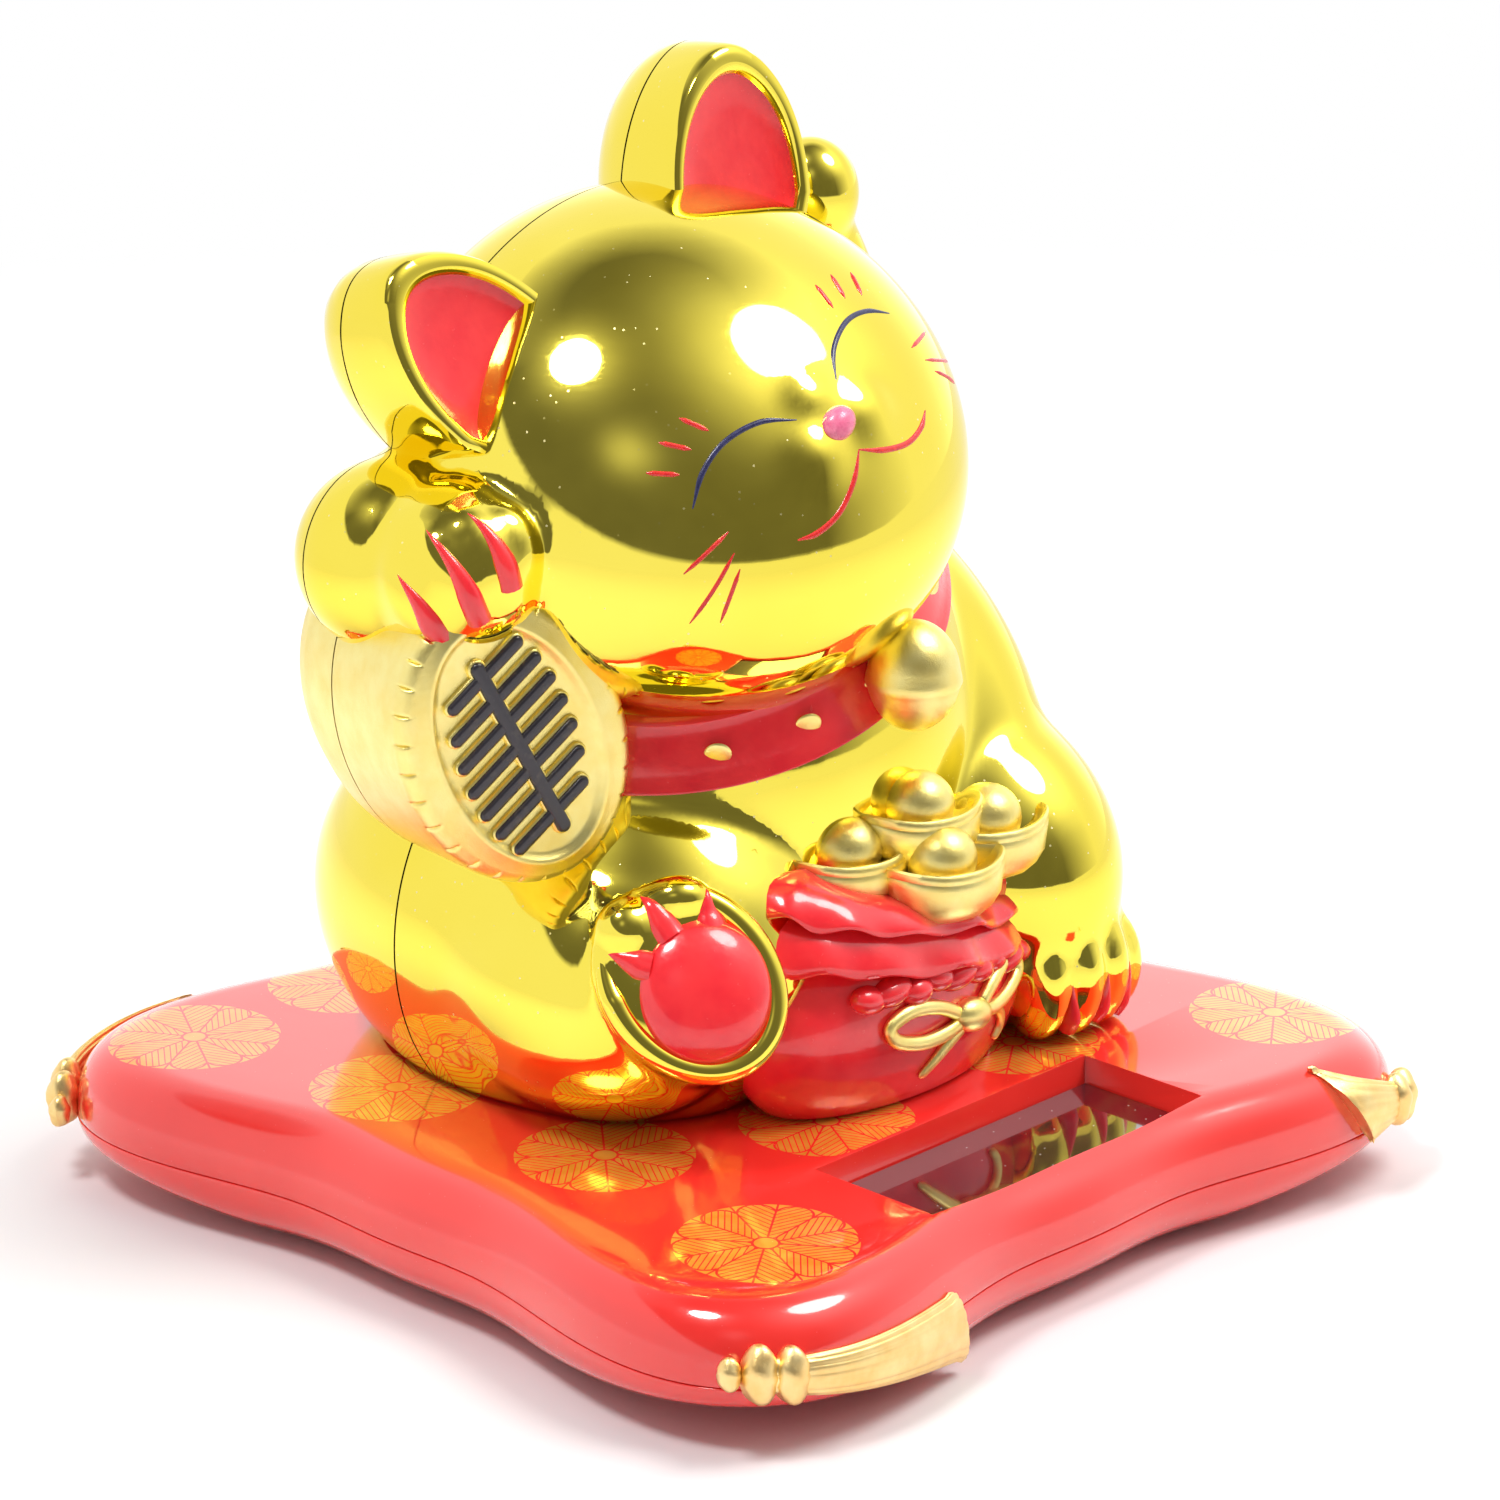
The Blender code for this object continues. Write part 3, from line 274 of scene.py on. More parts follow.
# %% The flowers' print
FLOWER_RADIUS, PETALS, HUB_RADIUS, HATCH_APART = 8.7, 12, 1.15, 0.74
RECESS_MIDDLE_Y, RECESS_HALF_WIDE, RECESS_HALF_DEEP = -37.1, 19.8, 7.95
FLOWERS = [(-38.9, 38.6), (-33.6, 14.0), (-31.2, -12.8), (-35.2, -37.9), (-10.4, -22.4), (42.2, -36.0)]
FLOWERS += [(-17.8, 38.4), (17.7, -22.0), (37.2, -8.0), (33.5, 17.0), (40.0, 38.0), (14.5, 37.5)]


def flower_print(made, places):
    """1 where gold is printed and 0 elsewhere, from the nearest flower's middle."""
    flat = made.vector("MULTIPLY", made.mm, (1.0, 1.0, 0.0))
    local = best = None
    for x, y in places:
        own_turn = (x * 7 + y * 3) % 1.0  # carried in the z of the place, so that it is chosen with it
        away = made.vector("SUBTRACT", flat, (x, y, -own_turn))
        reach = made.vector("LENGTH", made.vector("MULTIPLY", away, (1.0, 1.0, 0.0)), output="Value")
        if best is None:
            local, best = away, reach
        else:
            local = made.node("Mix", {"data_type": "VECTOR"}, {0: reach < best, 4: local, 5: away}, 1)
            best = made.math("MINIMUM", best, reach)
    across, along_it, spin = made.axes(local)
    turn = (made.math("ARCTAN2", along_it, across) / (2 * pi) + 1.0 + spin) * PETALS
    aside = (turn.fraction() - 0.5) * (2 * pi / PETALS)
    side, out = best * aside.wave(), best * (aside + pi / 2).wave()
    middle = FLOWER_RADIUS / (1 + sin(pi / PETALS))
    arc = ((out - middle) * (out - middle) + side * side) ** 0.5
    beyond = out > middle
    gap = best * (pi / PETALS - abs(aside)) < 0.11
    edge = beyond * (abs(arc - (FLOWER_RADIUS - middle)) < 0.13)
    outside = beyond * (arc > FLOWER_RADIUS - middle)
    mirrored = ((turn * 0.5).fraction() > 0.5) * 2.0 - 1.0
    slanted = out * 0.72 + side * mirrored * 0.95
    hatch = ((slanted / HATCH_APART).fraction() < 0.21) * (1.0 - outside)
    hub = best < HUB_RADIUS
    ring = abs(best - (HUB_RADIUS + 0.1)) < 0.14
    lines = made.math("MAXIMUM", made.math("MAXIMUM", gap, edge), hatch) * (1.0 - hub)
    lines = made.math("MAXIMUM", lines, ring)
    x, y, _ = made.axes(flat)
    in_recess = (abs(x) < RECESS_HALF_WIDE) * (abs(y - RECESS_MIDDLE_Y) < RECESS_HALF_DEEP)
    return (best < FLOWER_RADIUS) * (1.0 - lines) * (1.0 - in_recess)


print(f"{len(FLOWERS)} flowers of {PETALS} petals, {2 * FLOWER_RADIUS} mm across")

# %% [markdown]
# ## The red
# The cushion is red plastic with a deep polish and the soft ripple of moulded plastic, which a
# clear coat over a slightly rough red gives. The collar, bag, claws and ears are brushed with a
# red lacquer whose thickness varies, so its colour pools and thins. One red for both would look
# the same from afar, but brushed paint is never as even as coloured plastic.


# %% Polished red plastic
def polished_red(name="polished_red", printed=()):
    """printed: the middles of gold flowers that are printed under the polish, in mm."""
    made = Finish(name, Coat_Weight=1.0, Coat_Roughness=0.03, IOR=1.5)
    cloud = made.between(made.noise(0.045, 3.0), 0.3, 0.7)
    red = made.blend(cloud, (0.82, 0.024, 0.020), (0.92, 0.038, 0.028))
    if printed:
        faded = made.between(made.noise(0.5, 3.0), 0.3, 0.7)
        gold = made.blend(faded, (0.90, 0.37, 0.035), (0.97, 0.47, 0.07))
        print_share = flower_print(made, printed)
        red = made.blend(print_share * (0.86 + 0.14 * made.noise(1.2, 3.0)), red, gold)
        made.feed(Metallic=print_share * 0.25)
    made.feed(Base_Color=red)
    dust = made.speckled(0.8, 0.05)
    made.feed(Roughness=made.between(made.noise(0.7, 4.0), 0.3, 0.8, 0.10, 0.2) + 0.3 * dust)
    made.bump(made.noise(0.16, 1.0), 0.00006, 0.4)
    return made.material


# %% Red lacquer
def red_lacquer():
    made = Finish("red_lacquer", Coat_Weight=0.6, Coat_Roughness=0.05)
    pool = made.between(made.noise(0.25, 3.0), 0.3, 0.75)
    made.feed(Base_Color=made.blend(pool, (0.84, 0.016, 0.030), (0.95, 0.040, 0.045)))
    made.feed(Roughness=made.between(made.noise(1.6, 3.0), 0.3, 0.8, 0.14, 0.30))
    made.bump(made.noise(0.8, 2.0), 0.00008, 0.5)
    return made.material


# %% [markdown]
# ## Paints
# The face is painted by hand and the coin's raised bars are filled with black. Paint is a little
# uneven in colour and gloss, which small clouds in both give, and the black has worn in places.


# %% Paints
def paint(name, low, high, roughness):
    """A brushed paint under a thin varnish."""
    made = Finish(name, Coat_Weight=0.4, Coat_Roughness=0.12)
    made.feed(Base_Color=made.blend(made.between(made.noise(1.4, 3.0), 0.3, 0.7), low, high))
    cloud = made.noise(2.5, 2.0)
    made.feed(Roughness=made.between(cloud, 0.3, 0.7, roughness - 0.06, roughness + 0.06))
    made.bump(made.noise(3.0, 2.0), 0.00003, 0.4)
    return made.material


def coin_black():
    made = Finish("coin_black", Coat_Weight=0.5, Coat_Roughness=0.15)
    worn = made.between(made.noise(0.9, 2.0), 0.56, 0.72)
    made.feed(Base_Color=made.blend(worn * 0.3, (0.018, 0.014, 0.022), (0.12, 0.09, 0.06)))
    made.feed(Roughness=0.28 + 0.15 * made.noise(2.0, 3.0))
    made.bump(made.noise(2.2, 2.0), 0.00004, 0.5)
    return made.material


# %% [markdown]
# ## Solar cell
# The cell is a dark brown film under glass, and mostly shows what it mirrors. Glass as a piece of
# its own would only slow the picture down, so a strong smooth coat over the film stands for it.
# A little dust lies on it, as on every upright display.


# %% The cell's film
def cell_film():
    made = Finish("cell_film", Coat_Weight=1.0, Coat_Roughness=0.012, Coat_IOR=2.5, IOR=1.6)
    cloud = made.between(made.noise(0.2, 3.0), 0.3, 0.7)
    film = made.blend(cloud, (0.030, 0.006, 0.012), (0.050, 0.012, 0.020))
    dust = made.speckled(0.8, 0.07) * (made.noise(0.3, 2.0) > 0.52)
    made.feed(Base_Color=made.blend(dust * 0.8, film, (0.75, 0.72, 0.68)))
    made.feed(Roughness=0.08 + 0.08 * made.noise(1.2, 3.0) + 0.3 * dust)
    return made.material


# %% [markdown]
# ## Finishes of the works
# Inside are a circuit board, a coil, a magnet, a lever and screws, which a shop never shows. They
# keep their CAD shapes, and their finishes carry what detail they have: copper tracks on the
# board, the turns of the winding with painted shade in the grooves between them, the grain of
# moulded plastic and the drawn lines of steel.


# %% Board and coil
def board_green():
    made = Finish("board_green", Coat_Weight=0.6, Coat_Roughness=0.2)
    across, along, _ = made.axes()
    bend, side = 2.0 * made.noise(0.14, 0.0), made.noise(0.1, 1.0)
    track = (abs(((across + bend) / 1.9).fraction() - 0.5) < 0.14) * (side > 0.5)
    track_along = (abs(((along + bend) / 2.3).fraction() - 0.5) < 0.12) * (side < 0.46)
    copper = (track + track_along).clamped()
    made.feed(Base_Color=made.blend(copper, (0.012, 0.09, 0.035), (0.03, 0.20, 0.08)))
    made.feed(Roughness=0.35 + 0.15 * made.noise(3.0, 2.0))
    made.bump(copper, 0.00004, 0.6)
    return made.material


def coil_copper():
    made = Finish("coil_copper", Metallic=1.0)
    _, _, rise = made.axes()
    turn = abs((rise / 0.22).fraction() - 0.5) * 2.0
    # The grooves between the turns are painted darker, as painted shade; the same groove gives the
    # bump.
    made.feed(Base_Color=made.blend(turn, (0.72, 0.30, 0.12), (0.35, 0.11, 0.04)))
    made.feed(Roughness=0.22 + 0.15 * made.noise(4.0, 2.0))
    made.bump(1.0 - turn, 0.00010, 0.8)
    return made.material


# %% Plastics, metals and rubber
def moulded(name, low, high, roughness, grain=0.00004):
    """Plastic or rubber with the fine grain of its mould."""
    made = Finish(name)
    texture = made.noise(7.0, 3.0)
    made.feed(Base_Color=made.blend(made.between(made.noise(0.6, 3.0), 0.3, 0.7), low, high))
    made.feed(Roughness=made.between(texture, 0.2, 0.8, roughness - 0.08, roughness + 0.08))
    made.bump(texture, grain, 0.5)
    return made.material


def plated(name, low, high, roughness):
    """Metal with the fine lines of drawing along Z."""
    made = Finish(name, Metallic=1.0)
    drawn = made.vector("MULTIPLY", made.mm, (6.0, 6.0, 0.8))
    lines = made.noise(1.5, 4.0, drawn)
    made.feed(Base_Color=made.blend(made.between(lines, 0.3, 0.7), low, high))
    made.feed(Roughness=made.between(lines, 0.2, 0.8, roughness - 0.08, roughness + 0.1))
    made.bump(lines, 0.00002, 0.5)
    return made.material


# %% One finish for each of the record's slots
FINISHES = {
    "gold_chrome": bright_gold(),
    "gold_satin": satin_gold("satin_gold", (0.96, 0.77, 0.23), (1.0, 0.87, 0.34)),
    "red_gloss": polished_red(),
    "red_paint": red_lacquer(),
    "black_paint": coin_black(),
    "pink_paint": paint("nose_pink", (0.80, 0.12, 0.26), (0.90, 0.24, 0.38), 0.3),
    "cell_glass": cell_film(),
    "board": board_green(),
    "black_plastic": moulded("black_plastic", (0.018, 0.018, 0.02), (0.035, 0.035, 0.038), 0.45),
    "white_plastic": moulded("white_plastic", (0.70, 0.69, 0.65), (0.80, 0.79, 0.76), 0.42),
    "copper": coil_copper(),
    "steel": plated("plated_steel", (0.50, 0.50, 0.52), (0.66, 0.66, 0.68), 0.3),
    "magnet": plated("nickel", (0.42, 0.42, 0.44), (0.56, 0.55, 0.54), 0.22),
    "rubber": moulded("rubber", (0.02, 0.02, 0.02), (0.04, 0.04, 0.04), 0.8, 0.00008),
    "red_lead": moulded("red_lead", (0.55, 0.02, 0.02), (0.68, 0.035, 0.03), 0.45),
}
TASSEL_GOLD = satin_gold("tassel_gold", (0.94, 0.62, 0.22), (1.0, 0.78, 0.36))
EYE_NAVY = paint("eye_navy", (0.012, 0.012, 0.06), (0.03, 0.03, 0.11), 0.35)
MOUTH_RED = paint("mouth_red", (0.62, 0.01, 0.015), (0.78, 0.03, 0.02), 0.3)
for part in frame["record"]["subparts"]:
    carried = frame["nodes"][part["node"]]
    carried.data.materials.clear()
    carried.data.materials.append(FINISHES[part["material_slot"]])
print("Finishes:", len(FINISHES), "on", len(frame["nodes"]), "CAD nodes")

# %% [markdown]
# ## Helpers that make a piece
# A piece starts as a bmesh in millimetres, the unit that the figurine's sizes are easy to read
# in, and becomes metres when it is finished. Its object then sits at the origin, unturned, with
# its place in its mesh. Most pieces are swept: a ring of corners is extruded from one level to
# the next, and a formula says where each corner goes. A Screw modifier would do for the round
# ones, but few pieces here are round.


# %% Finishing a piece
def linked(name, data):
    """Adds an object that holds this data to the scene."""
    made = bpy.data.objects.new(name, data)
    bpy.context.scene.collection.objects.link(made)
    return made


def as_object(name, form):
    """Makes a bmesh an object at the origin."""
    mesh = bpy.data.meshes.new(name)
    form.to_mesh(mesh)
    form.free()
    return linked(name, mesh)


def keep(name, form, slot=None, stands_for=(), material=None, body="figure", sharp=40):
    """Makes a bmesh in millimetres a finished piece, with the finish of its slot or another one."""
    bmesh.ops.recalc_face_normals(form, faces=form.faces)
    bmesh.ops.scale(form, vec=(MM, MM, MM), verts=form.verts)
    made = as_object(name, form)
    made.data.materials.append(material or FINISHES[slot])
    made.data.shade_smooth()
    made.data.set_sharp_from_angle(angle=radians(sharp))
    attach(made, body)
    if stands_for:
        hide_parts(*stands_for)
    print(f"{name}: {len(made.data.polygons)} faces")
    return made


# %% Turns and balls
UP = Vector((0, 0, 1))


def turned(degrees):
    """Turn about X first, then Y, then Z."""
    return Euler([radians(angle) for angle in degrees], "XYZ").to_matrix()


def in_degrees(turn):
    return [angle * 180 / pi for angle in turn]


def facing(right, back, up):
    """A turn whose own X, Y and Z point these ways."""
    return Matrix((right, back, up)).transposed().to_4x4()


def ball(form, place, radii, turn=None, around=32, down=16):
    """Adds an ellipsoid to a bmesh and gives its corners."""
    made = bmesh.ops.create_uvsphere(form, u_segments=around, v_segments=down, radius=1)["verts"]
    turn = (turn or Matrix.Identity(3)).to_4x4()
    matrix = Matrix.Translation(place) @ turn @ Matrix.Diagonal((*radii, 1))
    bmesh.ops.transform(form, matrix=matrix, verts=made)
    return made


# %% Sweeps
def sweep(form, levels, place, count):
    """Skins a tube: a ring of count corners for each level, each put where place(level, share) says.

    Gives the first and the last ring, in order round.
    """
    ring = bmesh.ops.create_circle(form, segments=count, radius=1)["verts"]
    ring = sorted(ring, key=lambda vert: atan2(vert.co.y, vert.co.x))
    for number, vert in enumerate(ring):
        vert.co = place(levels[0], number / count)
    first = ring
    for level in levels[1:]:
        edges = [form.edges.get((a, b)) for a, b in zip(ring, ring[1:] + ring[:1])]
        made = bmesh.ops.extrude_edge_only(form, edges=edges)["geom"]
        fresh = {vert for vert in made if isinstance(vert, bmesh.types.BMVert)}
        ring = [next(e.other_vert(v) for e in v.link_edges if e.other_vert(v) in fresh) for v in ring]
        for number, vert in enumerate(ring):
            vert.co = place(level, number / count)
    return first, ring


def rod(form, levels, place, count):
    """A sweep whose two ends are each closed with one face."""
    for ring in sweep(form, levels, place, count):
        form.faces.new(ring)


def ring_edges(corners):
    """The edges of a closed ring, from its corners."""
    corners = set(corners)
    return [edge for edge in {e for v in corners for e in v.link_edges} if set(edge.verts) <= corners]


def hoop(form, levels, place, count):
    """A sweep whose last ring is joined to its first."""
    first, last = sweep(form, levels, place, count)
    bmesh.ops.bridge_loops(form, edges=ring_edges(first) + ring_edges(last))


def pole(form, ring):
    """Draws a ring's corners together to one."""
    bmesh.ops.pointmerge(form, verts=ring, merge_co=sum((v.co for v in ring), Vector()) / len(ring))


# %% [markdown]
# ## Where the cushion ends and the cat begins
# The cat sits on the cushion's flat top. The CAD boxes give the heights of that top, of the line
# where the cushion's two halves meet, and the plane where the cat's front and rear shells meet.

# %% Heights from the frame
TOP_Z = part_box("cushion_top_shell")[1].z / MM
PARTING_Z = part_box("cushion_bottom_shell")[1].z / MM + 0.1
FOOT_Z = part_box("cushion_bottom_shell")[0].z / MM
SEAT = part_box("body_front_shell")[0].z / MM
SEAM_Y = (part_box("body_front_shell")[1].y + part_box("body_rear_shell")[0].y) / 2 / MM
TO_SEAT = Vector((0, 0, SEAT))  # the cat's own heights are measured above the seat
print(f"Top {TOP_Z:.2f}, parting {PARTING_Z:.2f}, underside {FOOT_Z:.2f} mm")
print(f"Seat {SEAT:.2f}, seam y {SEAM_Y:.2f} mm")

# %% [markdown]
# ## One smooth skin for the cat
# The cat is moulded as rounded forms that flow into each other: a broad head, a torso, hips and
# paws. A mirror finish shows every flaw, so a plain union of ellipsoids with hard creases would
# look wrong, and so would a lumpy remesh. Here the union is remeshed for its layout alone, and
# then every corner is moved onto an exact surface: the distances to all the forms are blended, so
# that the creases become small fillets, and each corner slides along the slope to distance nought.

# %% The cat's rounded forms
# Every form is given by its middle above the seat, its half sizes and its turn, in mm and degrees
HEAD = ((-6.7, 0.9, 62.6), (28.0, 28.3, 20.6), (32.4, -24.4, 3.8))


def along(start, end, radius, ends=1.0):
    """A form that lies between two points."""
    start, end = Vector(start), Vector(end)
    turn = (end - start).to_track_quat("Z", "Y").to_euler("XYZ")
    radii = (radius, radius, (end - start).length / 2 + ends)
    return tuple((start + end) / 2), radii, in_degrees(turn)


def on_head(place, radius):
    """A ball whose middle is given along the head's own axes."""
    return tuple(Vector(HEAD[0]) + turned(HEAD[2]) @ Vector(place)), (radius, radius, radius), (0, 0, 0)


# The raised foot: the middle of its rim, and a frame whose -Y is the way its sole faces
SOLE_OUT = Vector((-0.50, -0.75, 0.43)).normalized()
SOLE_UP = (UP - SOLE_OUT * SOLE_OUT.z).normalized()
SOLE_TURN = facing(SOLE_UP.cross(SOLE_OUT), -SOLE_OUT, SOLE_UP)
SOLE_FRAME = Matrix.Translation((-26.6, -19.6, 32.4)) @ SOLE_TURN
SOLE_LEAN = Matrix.Rotation(radians(-35), 4, "Y")  # the rim is an oval that leans over by this


def on_sole(place, radii, lean=False):
    """A form on the sole, placed and turned in the sole's frame."""
    turn = (SOLE_FRAME @ (SOLE_LEAN if lean else Matrix.Identity(4))).to_euler("XYZ")
    return tuple(SOLE_FRAME @ Vector(place) - TO_SEAT), radii, in_degrees(turn)


# %% All the forms
MUZZLE = {
    "muzzle_right": on_head((-3.42, -13.7, 13.1), 5.0),
    "muzzle_left": on_head((3.42, -13.7, 13.1), 5.0),
    "bridge": on_head((0.0, -10.3, 16.15), 3.35),
}
BODY_FORMS = {
    "head": HEAD,
    **MUZZLE,
    "torso": ((3.0, 8.0, 27.5), (30.0, 27.0, 34.0), (0, 0, 0)),
    "shoulder": ((17.5, 0.8, 29.4), (18.5, 14.0, 27.0), (-20.8, -25.5, -36.7)),
    "hip_right": ((-14.5, 9.0, 14.5), (20.5, 30.5, 22.0), (0, 0, 0)),
    "hip_left": ((16.5, 9.0, 14.5), (20.5, 30.5, 22.0), (0, 0, 0)),
    "leg_right": ((-23.2, -3.0, 13.2), (12.9, 18.6, 13.7), (0, 0, 0)),
    "foot_right": on_sole((0, 0, 0), (8.5, 2.6, 10.3), lean=True),
    "heel_right": on_sole((0.2, 4.0, -1.0), (7.9, 7.0, 8.8), lean=True),
    "toe_side": on_sole((-5.7, -0.9, 5.6), (2.6, 2.3, 2.5)),
    "toe_upper": on_sole((-0.4, -0.9, 8.0), (2.9, 2.3, 2.0)),
    "thigh_left": ((23.2, -6.2, 14.5), (15.5, 21.5, 18.4), (0, 0, 0)),
    "foot_left": ((24.8, -20.0, 6.4), (7.4, 7.4, 6.9), (0, 0, 0)),
    "toe_1": ((19.0, -23.7, 5.8), (2.6, 3.8, 5.7), (0, 0, 0)),
    "toe_2": ((22.8, -24.8, 6.1), (2.6, 3.9, 6.1), (0, 0, 0)),
    "toe_3": ((26.9, -24.7, 6.1), (2.6, 3.9, 6.1), (0, 0, 0)),
    "toe_4": ((30.7, -23.4, 5.5), (2.5, 3.8, 5.3), (0, 0, 0)),
    "hand_right": ((-36.2, 9.8, 55.8), (9.3, 9.3, 9.3), (0, 0, 0)),
    "fingers_right": ((-35.8, 1.5, 56.2), (8.4, 8.6, 8.4), (0, 0, 0)),
    "finger_1": along((-42.6, 1.2, 57.6), (-41.4, -1.0, 53.0), 2.4, 1.6),
    "finger_2": along((-41.0, -1.6, 60.2), (-39.6, -4.0, 55.4), 2.4, 1.6),
    "finger_3": along((-38.2, -3.0, 61.4), (-37.2, -5.0, 57.0), 2.3, 1.6),
    "finger_4": along((-34.8, -4.0, 61.4), (-34.0, -5.2, 58.0), 2.3, 1.6),
    "wrist_right": ((-30.5, 11.0, 52.0), (10.0, 9.0, 14.0), (0, 0, 0)),
}
print("Forms in the skin:", len(BODY_FORMS))

# %% [markdown]
# The skin is where the blended distance to all the forms is nought. The distance to one ellipsoid
# is only rough, but it is good near the surface, which is where it is needed. The logarithm of a
# sum of exponentials takes the least of them softly, so that the forms flow into each other.

# %% The blended skin
CREASE = 0.55  # how far the blend reaches, in mm


class Skin:
    """The blended surface of several ellipsoids."""

    def __init__(self, forms, crease=CREASE):
        self.crease = crease
        self.places = [np.array(place) + (0, 0, SEAT) for place, _, _ in forms]
        self.radii = [np.array(radii) for _, radii, _ in forms]
        self.turns = [np.array(turned(turn)) for _, _, turn in forms]

    def distance(self, points):
        """Roughly how far each point is outside the skin, in mm."""
        gaps = []
        for place, radii, turn in zip(self.places, self.radii, self.turns):
            local = (points - place) @ turn
            near = np.linalg.norm(local / radii, axis=1)
            gaps.append(near * (near - 1) / np.linalg.norm(local / radii**2, axis=1))
        gaps = np.array(gaps)
        least = gaps.min(0)
        return least - self.crease * np.log(np.exp((least - gaps) / self.crease).sum(0))

    def slope(self, points, step=0.02):
        """The way in which the distance grows fastest, at each point."""
        rises = []
        for move in np.eye(3) * step:
            rises.append((self.distance(points + move) - self.distance(points - move)) / (2 * step))
        return np.array(rises).T

    def settle(self, points, out=0.0, rounds=5):
        """The points moved along the slope until they lie on the skin, or a distance out from it."""
        points = np.array(points, float)
        for _ in range(rounds):
            slope = self.slope(points)
            over = (self.distance(points) - out) / (slope**2).sum(1)
            points -= slope * np.clip(over, -1.5, 1.5)[:, None]
        return points


CAT_SKIN = Skin(BODY_FORMS.values())
HEAD_SKIN = Skin([HEAD, *MUZZLE.values()])
print("Two skins: the whole cat's, and the head's for the painted face")

# %% [markdown]
# The remesh is a Voxel Remesh modifier on the overlapping ellipsoids. It gives one closed surface
# with even squares, but also steps. Settling its corners on the skin takes the steps away, and a
# little smoothing between two settlings spreads the corners evenly again.


# %% Remesh a rough union and settle it on the skin
def settled(form, skin):
    """Moves a bmesh's corners onto the skin."""
    points = np.array([vert.co for vert in form.verts])
    for vert, point in zip(form.verts, skin.settle(points)):
        vert.co = point


def modified(held):
    """The mesh that an object's modifiers make."""
    bpy.context.view_layer.update()
    return bpy.data.meshes.new_from_object(held.evaluated_get(bpy.context.evaluated_depsgraph_get()))


def smooth_union(forms, skin, voxel):
    """A bmesh of the blended forms, with an even layout."""
    rough = bmesh.new()
    for place, radii, turn in forms:
        ball(rough, Vector(place) + TO_SEAT, radii, turned(turn), 48, 24)
    held = as_object("rough", rough)
    remesh = held.modifiers.new("layout", "REMESH")
    remesh.mode = "VOXEL"
    remesh.voxel_size = voxel
    form = bmesh.new()
    form.from_mesh(modified(held))
    bpy.data.objects.remove(held, do_unlink=True)
    for _ in range(2):
        settled(form, skin)
        bmesh.ops.smooth_vert(
            form, verts=form.verts, factor=0.5, use_axis_x=True, use_axis_y=True, use_axis_z=True
        )
    settled(form, skin)
    return form


cat = smooth_union(BODY_FORMS.values(), CAT_SKIN, 0.75)
print("Cat skin:", len(cat.faces), "faces")

# %% [markdown]
# ## Ears
# Each ear is a hollow horn: an arch that grows a little behind its rim and then closes into the
# head. A ring is swept through the arch's outline at each depth. The rim is a narrow rounded band,
# and inside it the ear is scooped out and lined with red lacquer.

# %% The outline of an ear
EAR_HALF_WIDTH, EAR_HEIGHT, EAR_ROOT, EAR_RIM = 9.0, 15.2, 6.0, 1.2
EAR_INNER = 0.93 - EAR_RIM / EAR_HALF_WIDTH  # the scoop's size next to the whole ear's
ARCH = 0.75  # the share of a ring that is the arch; the rest is the root
# Spot on the head in head radii, way up, and way it faces
EAR_RIGHT = ((-0.534, 0.434, 0.688), (-0.667, 0.283, 0.686), (-0.107, -0.950, 0.291))
EAR_LEFT = ((0.701, 0.332, 0.567), (0.048, 0.165, 0.985), (-0.099, -0.979, 0.169))


def head_point(share):
    """A place given in head radii along the head's own axes."""
    place, radii, turn = HEAD
    spot = Vector([part * radius for part, radius in zip(share, radii)])
    return Vector(place) + TO_SEAT + turned(turn) @ spot


def ear_frame(spot, rise, front):
    """Where an ear stands and how it is turned."""
    rise = Vector(rise).normalized()
    back = -Vector(front)
    back = (back - rise * back.dot(rise)).normalized()
    return Matrix.Translation(head_point(spot)) @ facing(back.cross(rise), back, rise)


def ear_corner(where, depth, size, root, share):
    """A corner of the arch at one depth, where share goes once round."""
    if share < ARCH:
        angle = pi * share / ARCH
        lift = sin(angle) ** 0.92 * (1 + 0.03 * sin(angle) ** 8)
        spot = Vector((EAR_HALF_WIDTH * size * cos(angle), depth, EAR_HEIGHT * size * lift))
    else:
        across = (share - ARCH) / (1 - ARCH)
        reach = EAR_HALF_WIDTH * size
        drop = -root * sin(pi * across) ** 0.5
        spot = Vector((-reach + 2 * reach * across, depth, drop))
    return where @ spot


# %% Horns and linings
# How far back each ring of a piece is, in mm, and its size next to the whole ear's
HORN_RINGS = [(3.2, EAR_INNER - 0.10), (1.2, EAR_INNER - 0.02), (0.5, EAR_INNER)]
HORN_RINGS += [(0.15, EAR_INNER + 0.02), (0.0, EAR_INNER + 0.055), (0.0, 0.90), (0.18, 0.945)]
HORN_RINGS += [(0.6, 0.965), (1.6, 0.98), (3.2, 0.992), (5.0, 1.0), (7.5, 1.0), (9.5, 0.975)]
HORN_RINGS += [(11.5, 0.92), (13.2, 0.84), (14.8, 0.72), (16.0, 0.56), (16.5, 0.42)]
LINING_RINGS = [(1.6, 0.3), (1.5, EAR_INNER - 0.02), (0.75, EAR_INNER + 0.004)]
LINING_RINGS += [(0.9, EAR_INNER - 0.035), (1.15, EAR_INNER - 0.12), (1.35, EAR_INNER * 0.70)]
LINING_RINGS += [(1.45, EAR_INNER * 0.45), (1.5, EAR_INNER * 0.2)]
LINING_ROOT = 3.6


def ear_horn(form, ear):
    """Adds the gold horn: from the bottom of the scoop, over the rim, to the back."""
    where = ear_frame(*ear)
    rod(form, HORN_RINGS, lambda at, share: ear_corner(where, *at, EAR_ROOT * at[1], share), 96)


def ear_lining(ear):
    """The red scoop inside the rim, as a thin bowl."""
    where = ear_frame(*ear)
    form = bmesh.new()
    rod(form, LINING_RINGS, lambda at, share: ear_corner(where, *at, LINING_ROOT, share), 96)
    return form


